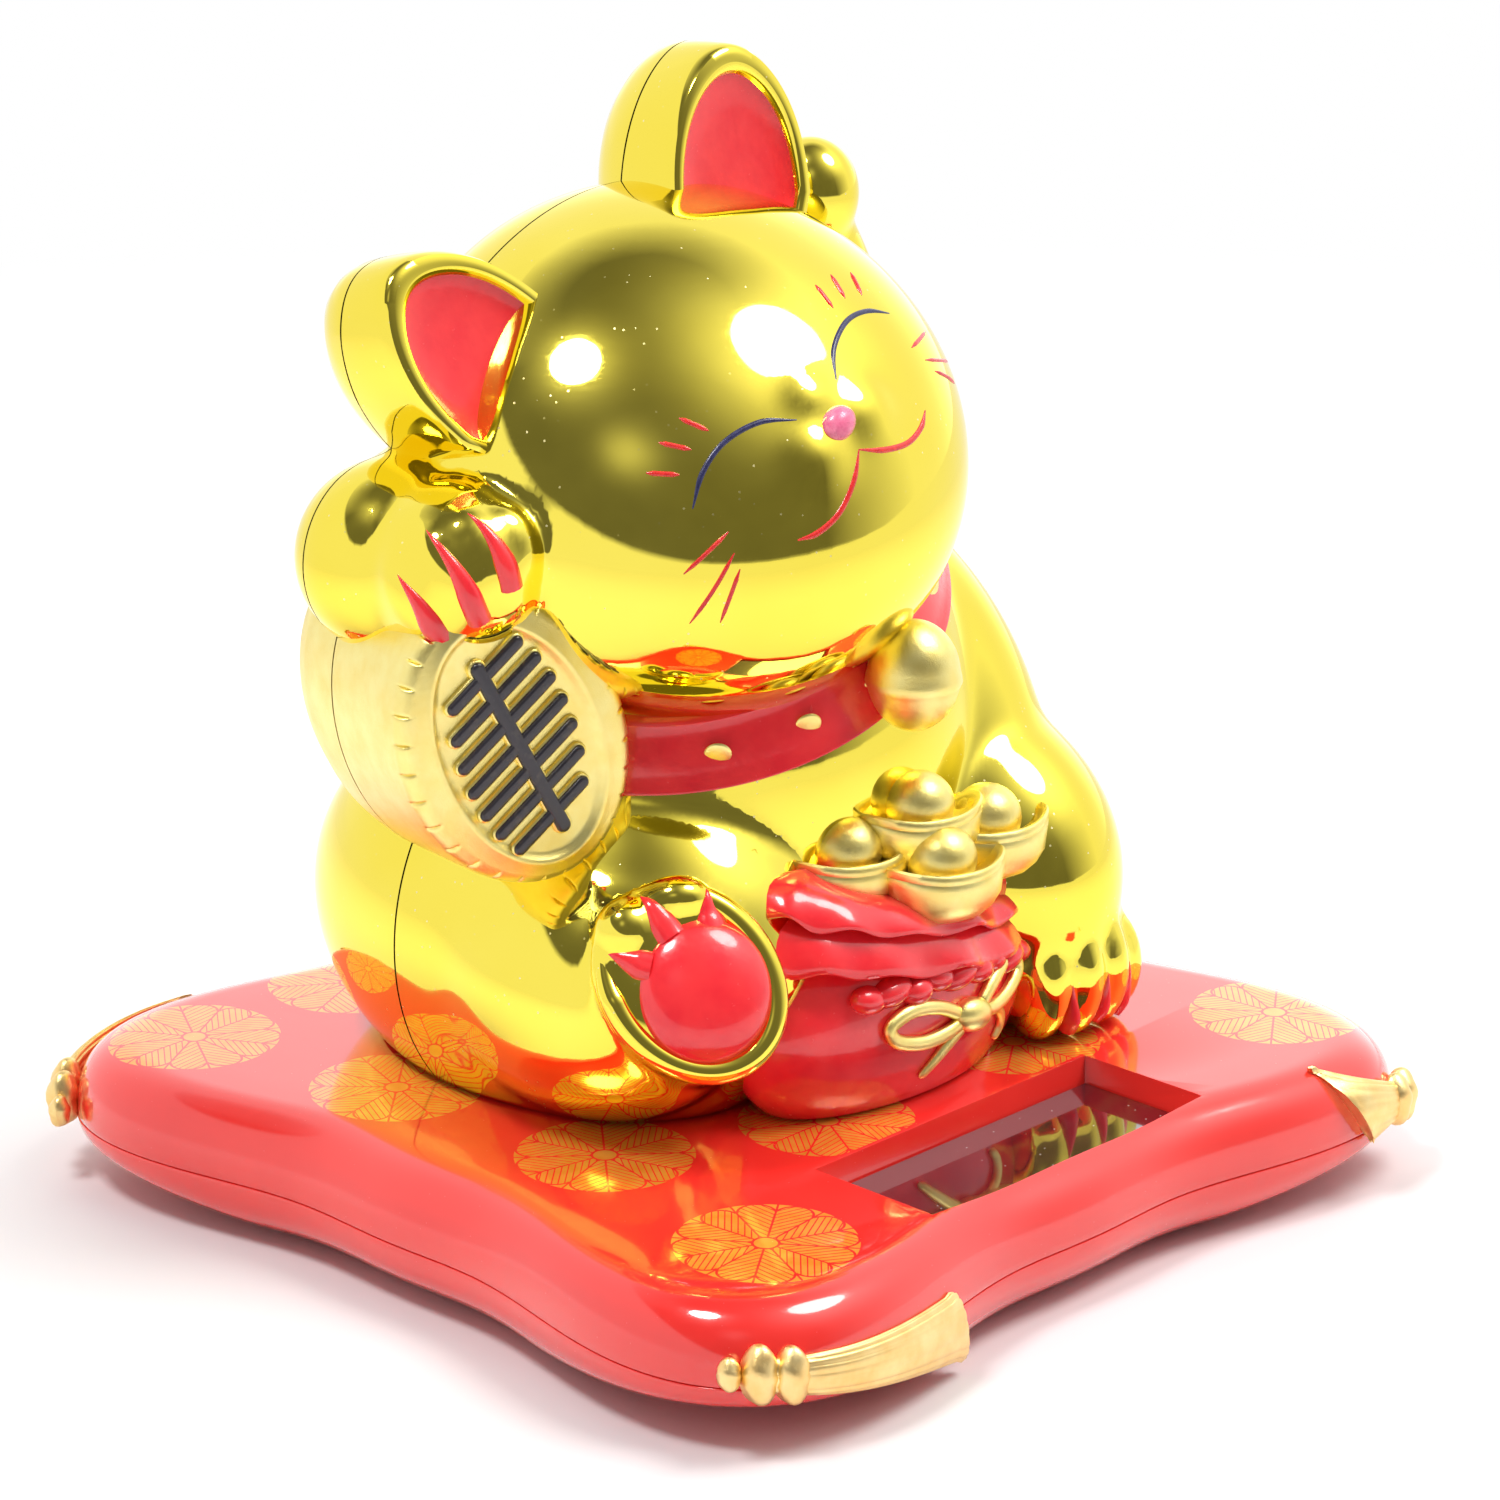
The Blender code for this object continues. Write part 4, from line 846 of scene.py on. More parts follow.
for side, ear in {"right": EAR_RIGHT, "left": EAR_LEFT}.items():
    ear_horn(cat, ear)
    keep(f"ear_lining_{side}_skin", ear_lining(ear), "red_paint", [f"ear_lining_{side}"])
print("Cat with ears:", len(cat.faces), "faces")

# %% [markdown]
# ## Rim of the raised foot
# The raised foot's sole has a rounded gold rim, which is part of the front shell. It could be a
# torus, but it is oval and sinks away where the toes stand. So a small ring of corners goes round
# the tube, a large one goes round the sole, and the sweep's two ends are bridged into a hoop.

# %% Sweep the rim
SOLE_WIDE, SOLE_TALL, RIM_RADIUS, RIM_PROUD, RIM_STEPS = 7.3, 9.1, 1.3, 0.9, 20
TOES_AT, TOES_REACH = 0.27, 0.17  # in shares of a turn round the sole


def rim_corner(level, share):
    angle, around = 2 * pi * share, 2 * pi * level / RIM_STEPS
    past_toes = (share - TOES_AT) % 1.0
    if past_toes > 0.5:
        past_toes -= 1.0
    toes = max(0.0, 1 - (past_toes / TOES_REACH) ** 2)
    size = RIM_RADIUS * (1 - 0.55 * toes)
    out = size * cos(around)
    depth = -RIM_PROUD * (1 - toes) - size * sin(around)
    spot = Vector(((SOLE_WIDE + out) * cos(angle), depth, (SOLE_TALL + out) * sin(angle)))
    return SOLE_FRAME @ SOLE_LEAN @ spot


hoop(cat, range(RIM_STEPS), rim_corner, 120)
print("Cat with the rim:", len(cat.faces), "faces")

# %% [markdown]
# ## Two shells with a seam
# The figurine is glued from a front and a rear shell, and the thin dark line between them shows
# on the head, hand and hip. The skin is cut by a plane on each side of the seam and each cut is
# closed, so both shells are whole bodies with a real gap between them.

# %% Cut the cat at the seat and at the seam
SEAM_GAP = 0.24


def cut_away(form, point, outward):
    """Removes what lies outside a plane and closes the cut."""
    geometry = form.verts[:] + form.edges[:] + form.faces[:]
    done = bmesh.ops.bisect_plane(
        form, geom=geometry, plane_co=point, plane_no=outward, clear_outer=True
    )
    edges = [item for item in done["geom_cut"] if isinstance(item, bmesh.types.BMEdge)]
    bmesh.ops.holes_fill(form, edges=edges, sides=0)


def split_at_seam(front):
    """Cuts a form in two at the seam and gives both halves."""
    rear = front.copy()
    cut_away(front, (0, SEAM_Y - SEAM_GAP / 2, 0), (0, 1, 0))
    cut_away(rear, (0, SEAM_Y + SEAM_GAP / 2, 0), (0, -1, 0))
    return front, rear


bmesh.ops.recalc_face_normals(cat, faces=cat.faces)
cut_away(cat, TO_SEAT, -UP)
cat_front, cat_rear = split_at_seam(cat)
keep("cat_front", cat_front, "gold_chrome", ["body_front_shell"])
keep("cat_rear", cat_rear, "gold_chrome", ["body_rear_shell"])

# %% [markdown]
# ## The waving arm
# The arm is one moulding on a pin: a round hub against the shoulder, a forearm and a paw. It is
# made from blended forms as the body is, so that it has the same smooth skin, but it rides on the
# arm's own body and swings with it.

# %% Arm forms
ARM_BOX = [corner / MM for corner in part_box("beckoning_arm")]
PIVOT = Vector(frame["joints"][0]["pos_m"]) / MM
HUB_THICK = 5.4
ROOT = Vector((ARM_BOX[1].x - HUB_THICK + HUB_THICK / 2, PIVOT.y, PIVOT.z - SEAT))
BEND = ROOT + Vector((0, 0, 11.5))
PAW = Vector((24.0, 12.5, 80.8))
ARM_FORMS = [
    (tuple(ROOT), (2.75, 5.3, 5.3), (0, 0, 0)),
    along(ROOT, BEND, 2.8, 2.4),
    along(BEND - Vector((0, 0, 0.6)), BEND.lerp(PAW, 0.62), 3.1, 2.6),
    along(BEND.lerp(PAW, 0.25), PAW, 3.7, 1.5),
    (tuple(PAW), (4.7, 5.0, 5.6), (0, 0, 0)),
]
arm = smooth_union(ARM_FORMS, Skin(ARM_FORMS, 0.5), 0.45)
keep("waving_arm", arm, "gold_chrome", ["beckoning_arm"], body="arm")

# %% [markdown]
# ## The face
# The eyes, mouth, lashes and whiskers are painted strokes. Each is a fine raised bead of paint
# that follows a line on the head. The line is drawn in the head's own frame, where the two sides
# of the face mirror each other, and every point of it is settled on the head's skin.

# %% A stroke of paint
HEAD_FRAME = Matrix.Translation(head_point((0, 0, 0))) @ turned(HEAD[2]).to_4x4()


def curve_through(points, steps):
    """A smooth run of points through the given ones."""
    points = [2 * points[0] - points[1], *points, 2 * points[-1] - points[-2]]
    made = []
    for before, start, end, after in zip(points, points[1:], points[2:], points[3:]):
        slope = end - before
        bend = 2 * before - 5 * start + 4 * end - after
        twist = 3 * start - before - 3 * end + after
        for step in range(steps):
            t = step / steps
            made.append(0.5 * (2 * start + slope * t + bend * t * t + twist * t**3))
    return made + [points[-2]]


# %% A raised bead along a line
def stroke(form, path, width, height=0.16, skin=HEAD_SKIN, taper=(0.25, 0.25), steps=10, grow=5.0):
    """Adds a raised bead along path, on the skin.

    taper: how wide its two ends are, next to its middle. grow: how soon it is at its full width.
    """
    line = curve_through([Vector(point) for point in path], steps)
    line = [Vector(point) for point in skin.settle([tuple(point) for point in line])]
    normals = [Vector(n).normalized() for n in skin.slope(np.array([tuple(p) for p in line]))]
    count = len(line) - 1

    def corner(number, share):
        ahead = (line[min(number + 1, count)] - line[max(number - 1, 0)]).normalized()
        side = ahead.cross(normals[number]).normalized()
        at = number / count
        swells = [thin + (1 - thin) * way * grow for thin, way in zip(taper, (at, 1 - at))]
        swell = min(1.0, *swells)
        angle = 2 * pi * share
        aside = side * (cos(angle) * width / 2 * swell)
        return line[number] + aside + normals[number] * (sin(angle) * height * swell)

    rod(form, range(count + 1), corner, 10)


def both_sides(path):
    """A path in the head's frame, and its mirror image."""
    return [[HEAD_FRAME @ Vector((side * x, y, z)) for x, y, z in path] for side in (-1, 1)]


def both_strokes(form, paths, width):
    """Draws each path on both sides of the face."""
    for drawn in paths:
        for path in both_sides(drawn):
            stroke(form, path, width)


# %% Eyes, mouth and lashes
EYE = [(3.1, -11.9, 18.3), (5.8, -9.6, 18.4), (9.6, -8.4, 17.9), (13.0, -8.7, 16.9)]
EYE += [(15.7, -9.95, 15.15)]
SMILE = [(0.0, -17.4, 16.0), (2.6, -19.0, 15.0), (5.6, -19.9, 14.0), (8.4, -19.6, 13.4)]
SMILE += [(10.3, -18.6, 13.2)]
LASHES = [
    ((10.8, -3.9, 18.6), (9.9, -6.7, 18.45)),
    ((13.6, -3.9, 17.5), (12.2, -6.6, 17.65)),
    ((16.2, -4.7, 16.1), (14.5, -7.2, 16.6)),
]
eyes, mouth = bmesh.new(), bmesh.new()
both_strokes(eyes, [EYE], 0.55)
keep("eye_strokes", eyes, material=EYE_NAVY)
both_strokes(mouth, [SMILE], 0.6)
lashes = [[start, [(a + b) / 2 for a, b in zip(start, end)], end] for start, end in LASHES]
both_strokes(mouth, lashes, 0.5)
keep("face_red_strokes", mouth, material=MOUTH_RED)

# %% [markdown]
# Three fine red strokes on each cheek stand for the whiskers. They are thinner than the mouth and
# fan out beside it. Wires that stick out would be truer to a cat, but on the real figurine the
# whiskers are painted like the rest of the face.

# %% Whiskers
WHISKERS = [
    ((19.6, -12.7, 11.4), (17.3, -13.4, 13.2), (14.8, -13.7, 14.3)),
    ((21.1, -15.4, 7.6), (18.4, -15.6, 10.7), (15.5, -15.2, 13.1)),
    ((19.2, -17.5, 7.9), (17.7, -17.1, 10.3), (15.9, -16.4, 12.1)),
]
whiskers = bmesh.new()
both_strokes(whiskers, WHISKERS, 0.42)
keep("whisker_strokes", whiskers, material=MOUTH_RED)

# %% [markdown]
# ## Nose
# The nose is a small raised bead with a pink top. It is an ellipsoid that is half sunk in the
# head, on the same spot and with the same turn as the CAD node that it stands for.

# %% Nose
nose = bmesh.new()
ball(nose, head_point((0.0, -0.52, 0.85)), (2.1, 1.6, 1.7), turned(HEAD[2]), 32, 20)
keep("nose_bead", nose, "pink_paint", ["nose"])

# %% [markdown]
# ## Claws
# Each claw is a pointed drop of red lacquer between two fingers or toes. It is a stroke like
# those of the face, but wide and proud at one end and drawn out to a point at the other.


# %% A claw
def claw(form, path, width, height):
    """A drop of lacquer that is pointed where path starts and full where it ends."""
    stroke(form, path, width, height, CAT_SKIN, (0.02, 1.0), 8, 1.4)


def seated(points):
    """Places whose heights are given above the seat."""
    return [Vector((x, y, z + SEAT)) for x, y, z in points]


HAND_CLAWS = [
    [(-44.0, 0.2, 57.6), (-43.3, -1.9, 54.9), (-41.9, -2.9, 51.2)],
    [(-41.8, -1.3, 61.5), (-41.2, -4.6, 58.0), (-39.6, -5.6, 53.6)],
    [(-38.8, -3.4, 63.2), (-37.8, -5.6, 60.2), (-36.9, -6.6, 56.4)],
]
claws = bmesh.new()
for path in HAND_CLAWS:
    claw(claws, seated(path), 2.3, 0.85)
keep("hand_claws", claws, "red_paint")
TOE_CLAWS = [(20.8, -26.6), (24.9, -27.9), (28.9, -26.8)]
toes = bmesh.new()
for x, y in TOE_CLAWS:
    claw(toes, seated([(x, y, 6.6), (x, y - 0.4, 3.6), (x, y, 0.6)]), 2.1, 0.9)
keep("toe_claws", toes, "red_paint")

# %% [markdown]
# ## Sole of the raised foot
# The foot points its sole out to the cat's right: a smooth red dome inside a rounded gold rim,
# with three pointed strokes of lacquer between gold toes above it. The dome is an ellipsoid that
# is sunk in the foot, and the strokes are claws that lie on the cat's skin.

# %% Sole dome and toes
# The tip and the root of each stroke, across and up the sole
SOLE_STROKES = [((-8.3, 2.9), (-3.9, 1.6)), ((-4.5, 9.3), (-1.6, 4.2)), ((2.7, 8.9), (2.3, 4.2))]
sole, spikes = bmesh.new(), bmesh.new()
place, radii, turn = on_sole((1.1, -1.5, -1.0), (6.5, 2.9, 6.9))
ball(sole, Vector(place) + TO_SEAT, radii, turned(turn), 64, 32)
keep("sole_dome", sole, "red_paint", ["sole_pad_right"])
for ends in SOLE_STROKES:
    tip, root = [SOLE_FRAME @ Vector((x, -2.6, z)) for x, z in ends]
    claw(spikes, [tip, tip.lerp(root, 0.5), root], 2.9, 0.75)
keep("sole_toes", spikes, "red_paint")

# %% [markdown]
# ## Coin drum
# The big coin is an oval drum: a sunk oval field inside a raised bead, a sloping band that is
# notched like a coin's edge, and a plain side that widens to the seam. One sweep follows that
# profile from the middle of the face to the middle of the back. The field of a real coin would
# carry lettering, so this one has a plain raised lattice instead.

# %% Sweep the drum
COIN_FACE = Vector((-35.1, -6.0, 40.4 + SEAT))
COIN_FRAME = Matrix.Translation(COIN_FACE) @ turned((0, -24, -18)).to_4x4()
FIELD_WIDE, FIELD_TALL, FIELD_DEPTH = 7.9, 12.6, 0.45
NOTCHES = 30


def drum_corner(level, share):
    """level: depth, wide, tall, drop and how deep the notches are there."""
    depth, wide, tall, drop, notch = level
    angle = 2 * pi * share
    pulse = max(0.0, cos(angle * NOTCHES)) ** 24 * notch
    across, rise = (wide - pulse) * cos(angle), (tall - pulse) * sin(angle) - drop
    return COIN_FRAME @ Vector((across, depth + pulse * 0.5, rise))


# The field and the bead round it: depth, and how far out from the field's edge
BEAD = [(FIELD_DEPTH, -6.5), (FIELD_DEPTH, -0.9), (0.38, -0.45), (0.05, -0.15), (-0.12, 0.15)]
BEAD += [(-0.05, 0.5), (0.15, 0.85)]
drum_levels = [(depth, FIELD_WIDE + out, FIELD_TALL + out, 0, 0) for depth, out in BEAD]
drum_levels += [(0.25, 9.9, 13.9, 0, 0), (0.36, 10.3, 14.2, 0, 0), (0.5, 10.6, 14.4, 0, 0.2)]
drum_levels += [(0.75, 10.95, 14.65, 0, 0.3), (1.15, 11.25, 14.85, 0, 0.3), (1.6, 11.4, 15.0, 0, 0.22)]
drum_levels += [(2.0, 11.42, 15.05, 0.03, 0), (2.5, 11.45, 15.15, 0.05, 0), (3.0, 11.5, 15.3, 0.1, 0)]
for step in range(1, 9):
    part = step / 8
    drum_levels.append((3 + 16 * part, 11.5 + 0.4 * part, 15.3 + 1.5 * part, 0.1 + 1.3 * part, 0))
drum_levels += [(22.0, 11.85, 16.7, 1.4, 0), (24.5, 11.3, 16.1, 1.4, 0), (26.5, 10.3, 14.8, 1.4, 0)]
drum_levels += [(27.8, 8.8, 12.6, 1.4, 0), (28.4, 7.0, 10.2, 1.4, 0), (28.5, 5.0, 7.5, 1.4, 0)]
drum = bmesh.new()
rod(drum, drum_levels, drum_corner, NOTCHES * 20)
bmesh.ops.recalc_face_normals(drum, faces=drum.faces)
drum_front, drum_rear = split_at_seam(drum)
keep("coin_front", drum_front, "gold_satin", ["coin_front_half"], sharp=50)
keep("coin_rear", drum_rear, "gold_satin", ["coin_rear_half"])

# %% [markdown]
# ## Raised lattice on the coin
# The raised marks on the field are filled with black, and a narrow step of bare gold shows round
# them. They are plain bars: one that stands and seven that lie across it, shorter towards the
# ends of the oval. Each bar is a short rod that grows out of the field, with its section drawn
# out between two places. The gold step is the same bar again, wider and lower.


# %% Bars
def bar(form, start, end, width, height):
    """A raised bar with round ends on the coin's field, between two places on it."""
    start, end = Vector((start[0], 0, start[1])), Vector((end[0], 0, end[1]))
    ahead = (end - start).normalized()
    side = Vector((-ahead.z, 0, ahead.x))

    def corner(level, share):
        depth, inset = level
        angle = 2 * pi * share
        middle = end if cos(angle) > 0 else start
        around = ahead * cos(angle) + side * sin(angle)
        rise = Vector((0, FIELD_DEPTH - depth, 0))
        return COIN_FRAME @ (middle + around * (width / 2 - inset) + rise)

    levels = [(-0.2, 0), (height * 0.6, 0.02), (height * 0.85, 0.1)]
    levels += [(height * 0.97, 0.22), (height, 0.4)]
    rod(form, levels, corner, 32)


BARS = [((0.5, -9.6), (-0.6, 9.0), 1.55)]  # two ends and a width: first the one that stands
ROWS_APART, ROW_HALF, ROW_LEAN = 2.7, 6.0, 0.28
for row in range(-3, 4):
    z = row * ROWS_APART
    half = ROW_HALF * (1 - (z / 11.6) ** 2) ** 0.5
    BARS.append(((-half, z - ROW_LEAN * half), (half * 0.92, z + ROW_LEAN * half), 1.35))
lattice, lattice_edge = bmesh.new(), bmesh.new()
for number, (start, end, width) in enumerate(BARS):
    bar(lattice, start, end, width, 0.85 + 0.04 * (number == 0))
    bar(lattice_edge, start, end, width + 0.42, 0.52)
keep("coin_lattice", lattice, "black_paint", ["coin_relief"])
keep("coin_lattice_edge", lattice_edge, "gold_satin")

# %% [markdown]
# ## Collar and bell
# The collar is a flat band round the neck, higher at one side, with a fine lip along both edges
# and gold dots. Its ring is found by looking outwards from the neck's middle, in the plane of the
# band, for the place where the torso's skin is: the band then hugs the body all the way round.

# %% Trace the neck and sweep the band
COLLAR_FRAME = Matrix.Translation((5.0, 8.0, 48.6 + SEAT)) @ turned((13.7, -18, 0)).to_4x4()
NECK_SKIN = Skin([BODY_FORMS["torso"], BODY_FORMS["shoulder"]], 0.8)
BAND_COUNT = 240


def neck_reach(height):
    """How far the skin is from the band's middle at a height, for each share of a turn."""
    angles = 2 * pi * np.arange(BAND_COUNT) / BAND_COUNT
    outward = np.c_[np.cos(angles), np.sin(angles), np.zeros(BAND_COUNT)]
    turn = np.array(COLLAR_FRAME.to_3x3())
    low, high = np.zeros(BAND_COUNT), np.full(BAND_COUNT, 40.0)
    for _ in range(30):
        middle = (low + high) / 2
        local = outward * middle[:, None] + [0, 0, height]
        inside = NECK_SKIN.distance(local @ turn.T + np.array(COLLAR_FRAME.translation)) < 0
        low, high = np.where(inside, middle, low), np.where(inside, high, middle)
    return low


# The band's section: height in the band, and how far out of the skin
BAND = [(-2.9, -0.6), (-2.95, 0.9), (-2.85, 1.2), (-2.6, 1.25), (-2.35, 1.05), (-1.2, 1.15)]
BAND += [(0.0, 1.2), (1.2, 1.15), (2.35, 1.05), (2.6, 1.25), (2.85, 1.2), (2.95, 0.9), (2.9, -0.6)]
reaches = {height: neck_reach(height) for height, _ in BAND}


def on_collar(share, height, out):
    """A place on the collar at a share of a turn."""
    angle = 2 * pi * share
    reach = reaches[height][round(share * BAND_COUNT) % BAND_COUNT] + out
    return COLLAR_FRAME @ Vector((reach * cos(angle), reach * sin(angle), height))


band = bmesh.new()
hoop(band, BAND, lambda level, share: on_collar(share, *level), BAND_COUNT)
keep("collar_band", band, "red_paint", ["collar"])

# %% [markdown]
# Flat gold beads stand along the middle of the band, evenly spaced. Each is a squashed ball that
# is turned to face out from the neck. An array along a curve would space them too, but the band's
# own formula already says where its surface is.

# %% Gold dots
DOTS, FIRST_DOT = 21, 0.98
dots = bmesh.new()
for number in range(DOTS):
    share = (number + FIRST_DOT) / DOTS
    outward = COLLAR_FRAME.to_3x3() @ Vector((cos(2 * pi * share), sin(2 * pi * share), 0))
    turn = outward.to_track_quat("Z", "Y").to_matrix()
    ball(dots, on_collar(share, 0.0, 1.15), (1.35, 1.35, 0.32), turn, 24, 12)
keep("collar_dots", dots, "gold_satin")

# %% [markdown]
# The bell is an upright ball with a raised line round its middle. A sweep from its top to its
# underside makes both at once, where a ball and a ring would leave a crease between them. The
# rings at the two ends are drawn together into a single corner, which closes the ball.

# %% Bell
BELL_PLACE = Vector((2.5, -21.5, 42.0 + SEAT))
BELL_TALL, BELL_WIDE, BELL_RINGS = 5.5, 4.55, 32
LINE_AT, LINE_REACH, LINE_PROUD = 1.66, 0.13, 0.22
bell = bmesh.new()
bell_levels = []
for step in range(1, BELL_RINGS):
    angle = pi * step / BELL_RINGS
    swell = LINE_PROUD * max(0.0, 1 - ((angle - LINE_AT) / LINE_REACH) ** 2)
    bell_levels.append((BELL_TALL * cos(angle), BELL_WIDE * sin(angle) + swell))


def bell_corner(level, share):
    rise, reach = level
    return BELL_PLACE + Vector((reach * cos(2 * pi * share), reach * sin(2 * pi * share), rise))


for ring in sweep(bell, bell_levels, bell_corner, 64):
    pole(bell, ring)
keep("bell_ball", bell, "gold_satin", ["bell"])

# %% [markdown]
# ## Bag of ingots
# The bag is a full pouch with two skirts of cloth that hang from its mouth, one under the other.
# The pouch is an ellipsoid. Each skirt is swept round it and ends in a rolled hem with a wave in
# it, and the waves of the two don't line up, as folds of real cloth don't.

# %% Pouch and skirts
BAG = Vector((1.4, -18.0, 7.6 + SEAT))
MOUTH = Vector((2.2, -19.5, 15.0 + SEAT))
BAG_RADII = (19.4, 8.8, 12.2)
bag = bmesh.new()
ball(bag, BAG, BAG_RADII, None, 96, 48)
ball(bag, (9.0, -17.6, 17.4 + SEAT), (12.0, 6.6, 5.4), None, 64, 32)
# Each skirt: its hem's height above the seat, how tall it is, its tilt, and how its ends rise
SKIRTS = [(17.3, 2.6, 3.6, 1.0), (13.5, 4.0, 3.4, 0.0)]
# Each of its rings: how far out it is, how high, and how much of the wave it has
SKIRT_RINGS = [(-6.0, 1.0, 0), (-3.0, 1.05, 0), (-1.4, 1.0, 0.1), (-0.2, 0.85, 0.2)]
SKIRT_RINGS += [(0.6, 0.62, 0.35), (1.1, 0.4, 0.6), (1.45, 0.2, 0.85), (1.55, 0.08, 1.0)]
SKIRT_RINGS += [(1.5, -0.04, 1.0), (1.25, -0.1, 1.0), (0.9, -0.06, 0.9), (0.6, 0.02, 0.7)]
SKIRT_RINGS += [(-1.5, 0.1, 0)]


def skirt(form, number, hem, tall, tilt, rise):
    """Adds one skirt of cloth that hangs round the bag's mouth."""

    def corner(level, share):
        out, above, wave = level
        angle = 2 * pi * share
        ripple = (0.6 * sin(angle * 13 + number * 2.1) + 0.3 * sin(angle * 8 + number)) * wave
        level_z = hem - tilt * cos(angle) + rise * cos(angle) ** 4
        wide, deep = 16.4 + 1.2 * number + out, 7.4 + 0.5 * number + out + ripple * 0.5
        z = SEAT + level_z + tall * above + 0.6 * ripple
        return Vector((1.8 + wide * cos(angle), -18.4 + deep * sin(angle), z))

    rod(form, SKIRT_RINGS, corner, 240)


for number, sizes in enumerate(SKIRTS):
    skirt(bag, number, *sizes)
cut_away(bag, TO_SEAT, -UP)
keep("bag_pouch", bag, "red_paint", ["money_bag"])

# %% [markdown]
# ## Ingots
# Four gold ingots lie in the bag's mouth. Each has the old form of a small boat, whose two ends
# rise, with a round lump in its middle. A real one would be cast in one piece. Here the boat is
# swept from its keel over its edge to its deck, a ball is sunk in the deck, and the same ingot is
# put in four places, as it would be from one mould.

# %% Boats
INGOT_SIZE, INGOT_TURN = (1.14, 1.14, 1.1), (-16, 0, -16)
SPOTS = [(2.5, -1.1, 10.6), (10.8, -2.6, 7.6), (-5.4, 1.2, 7.4), (1.4, -5.1, 6.3)]
# Each ring of the boat: its size next to the edge's, and its height
BOAT_RINGS = [(0.3, -3.6), (0.52, -3.4), (0.72, -2.8), (0.87, -1.9), (0.96, -0.8), (0.985, -0.3)]
BOAT_RINGS += [(0.975, -0.1), (1.0, 0.1), (1.01, 0.5), (0.98, 0.78), (0.93, 0.85), (0.88, 0.75)]
BOAT_RINGS += [(0.84, 0.4), (0.8, 0.1), (0.6, 0.05), (0.3, 0.1)]


def boat_corner(level, share):
    size, rise = level
    angle = 2 * pi * share
    lift = 1.7 * abs(cos(angle)) ** 2.4 * size**3 * (0.45 + 0.55 * (rise > -1))
    return Vector((6.0 * size * cos(angle), 4.3 * size * sin(angle), rise + lift))


def ingot(spot):
    """A boat with raised ends and a ball in its middle."""
    form = bmesh.new()
    rod(form, BOAT_RINGS, boat_corner, 72)
    ball(form, (0, -0.3, 2.1), (3.1, 3.1, 3.1), None, 40, 20)
    bmesh.ops.scale(form, vec=INGOT_SIZE, verts=form.verts)
    matrix = Matrix.Translation(MOUTH + Vector(spot)) @ turned(INGOT_TURN).to_4x4()
    bmesh.ops.transform(form, matrix=matrix, verts=form.verts)
    return form


for number, spot in enumerate(SPOTS, 1):
    keep(f"ingot_boat_{number}", ingot(spot), "gold_satin", [f"ingot_{number}"])

# %% [markdown]
# ## Bow
# A gold cord is tied round the bag in a bow. Its knot, two loops and two tails are tubes that
# are flattened like ribbon, swept along smooth curves that are settled on the bag. Above the bow
# the cloth is gathered, which a row of soft lumps shows.


# %% A flattened tube
def ribbon(form, path, width, thick, front, ends=(1.0, 1.0)):
    """Adds a tube of oval section along path, flat towards its front."""
    line = curve_through([Vector(point) for point in path], 8)
    last_one = len(line) - 1

    def corner(number, share):
        ahead = (line[min(number + 1, last_one)] - line[max(number - 1, 0)]).normalized()
        side = ahead.cross(front).normalized()
        out = side.cross(ahead).normalized()
        at = number / last_one
        size = ends[0] + (ends[1] - ends[0]) * at
        round_off = min(1.0, (min(at, 1 - at) * last_one + 0.25) / 1.6) ** 0.5
        angle = 2 * pi * share
        oval = (side * cos(angle) * width + out * sin(angle) * thick) / 2
        return line[number] + oval * size * round_off

    rod(form, range(last_one + 1), corner, 16)


# %% Knot, loops and tails
BAG_SKIN = Skin([(tuple(BAG - TO_SEAT), BAG_RADII, (0, 0, 0))])
BAG_FRONT = Vector((0, -1, 0.25))
LOOPS = [
    [
        (3.7, 8.1), (0.4, 9.8), (-3.2, 10.4), (-6.0, 9.4),
        (-5.3, 7.7), (-2.0, 6.7), (1.4, 6.8), (3.8, 7.4),
    ],
    [
        (6.8, 8.1), (9.4, 10.0), (12.6, 11.6), (15.2, 11.3),
        (15.4, 9.4), (12.4, 7.8), (9.4, 7.2), (7.0, 7.5),
    ],
]
TAILS = [
    ((1.1, 0.55), [(4.0, 6.9), (2.0, 5.4), (0.2, 3.8), (-1.4, 2.2)]),
    ((1.0, 0.55), [(6.8, 7.2), (9.6, 7.0), (11.4, 5.6), (11.9, 3.8), (11.2, 2.2)]),
]


def on_bag(points, out=0.5):
    """Places on the bag's front, from their x and their height above the seat."""
    return [Vector(p) for p in BAG_SKIN.settle([(x, -27.5, z + SEAT) for x, z in points], out)]


bow, gathers = bmesh.new(), bmesh.new()
ball(bow, on_bag([(5.2, 7.7)], 0.6)[0], (2.5, 1.5, 1.75), turned((0, 8, 0)))
for path in LOOPS:
    ribbon(bow, on_bag(path), 1.5, 1.2, BAG_FRONT)
for ends, path in TAILS:
    ribbon(bow, on_bag(path, 0.3), 1.5, 1.1, BAG_FRONT, ends)
for number in range(9):
    x = -8.2 + 3.1 * number
    place = on_bag([(x, 13.0 - 0.05 * (x + 8) + 0.4 * sin(number * 2.4))], 0.1)[0]
    lean = turned((20, 14 * cos(number * 2.3), 0))
    ball(gathers, place, (2.2 + 0.4 * sin(number * 1.9), 1.5, 1.45), lean, 24, 12)
keep("bag_gathers", gathers, "red_paint")
keep("bow_ribbon", bow, "gold_satin", ["bag_bow"])

# %% [markdown]
# ## Cushion
# The base is moulded as a square cushion: full corners, sides that pull in between them, and a
# flat top. Both halves are swept from the line where they meet. The outline is a circle whose
# reach changes with the angle, and a small radius at the parting line keeps its shadow thin.

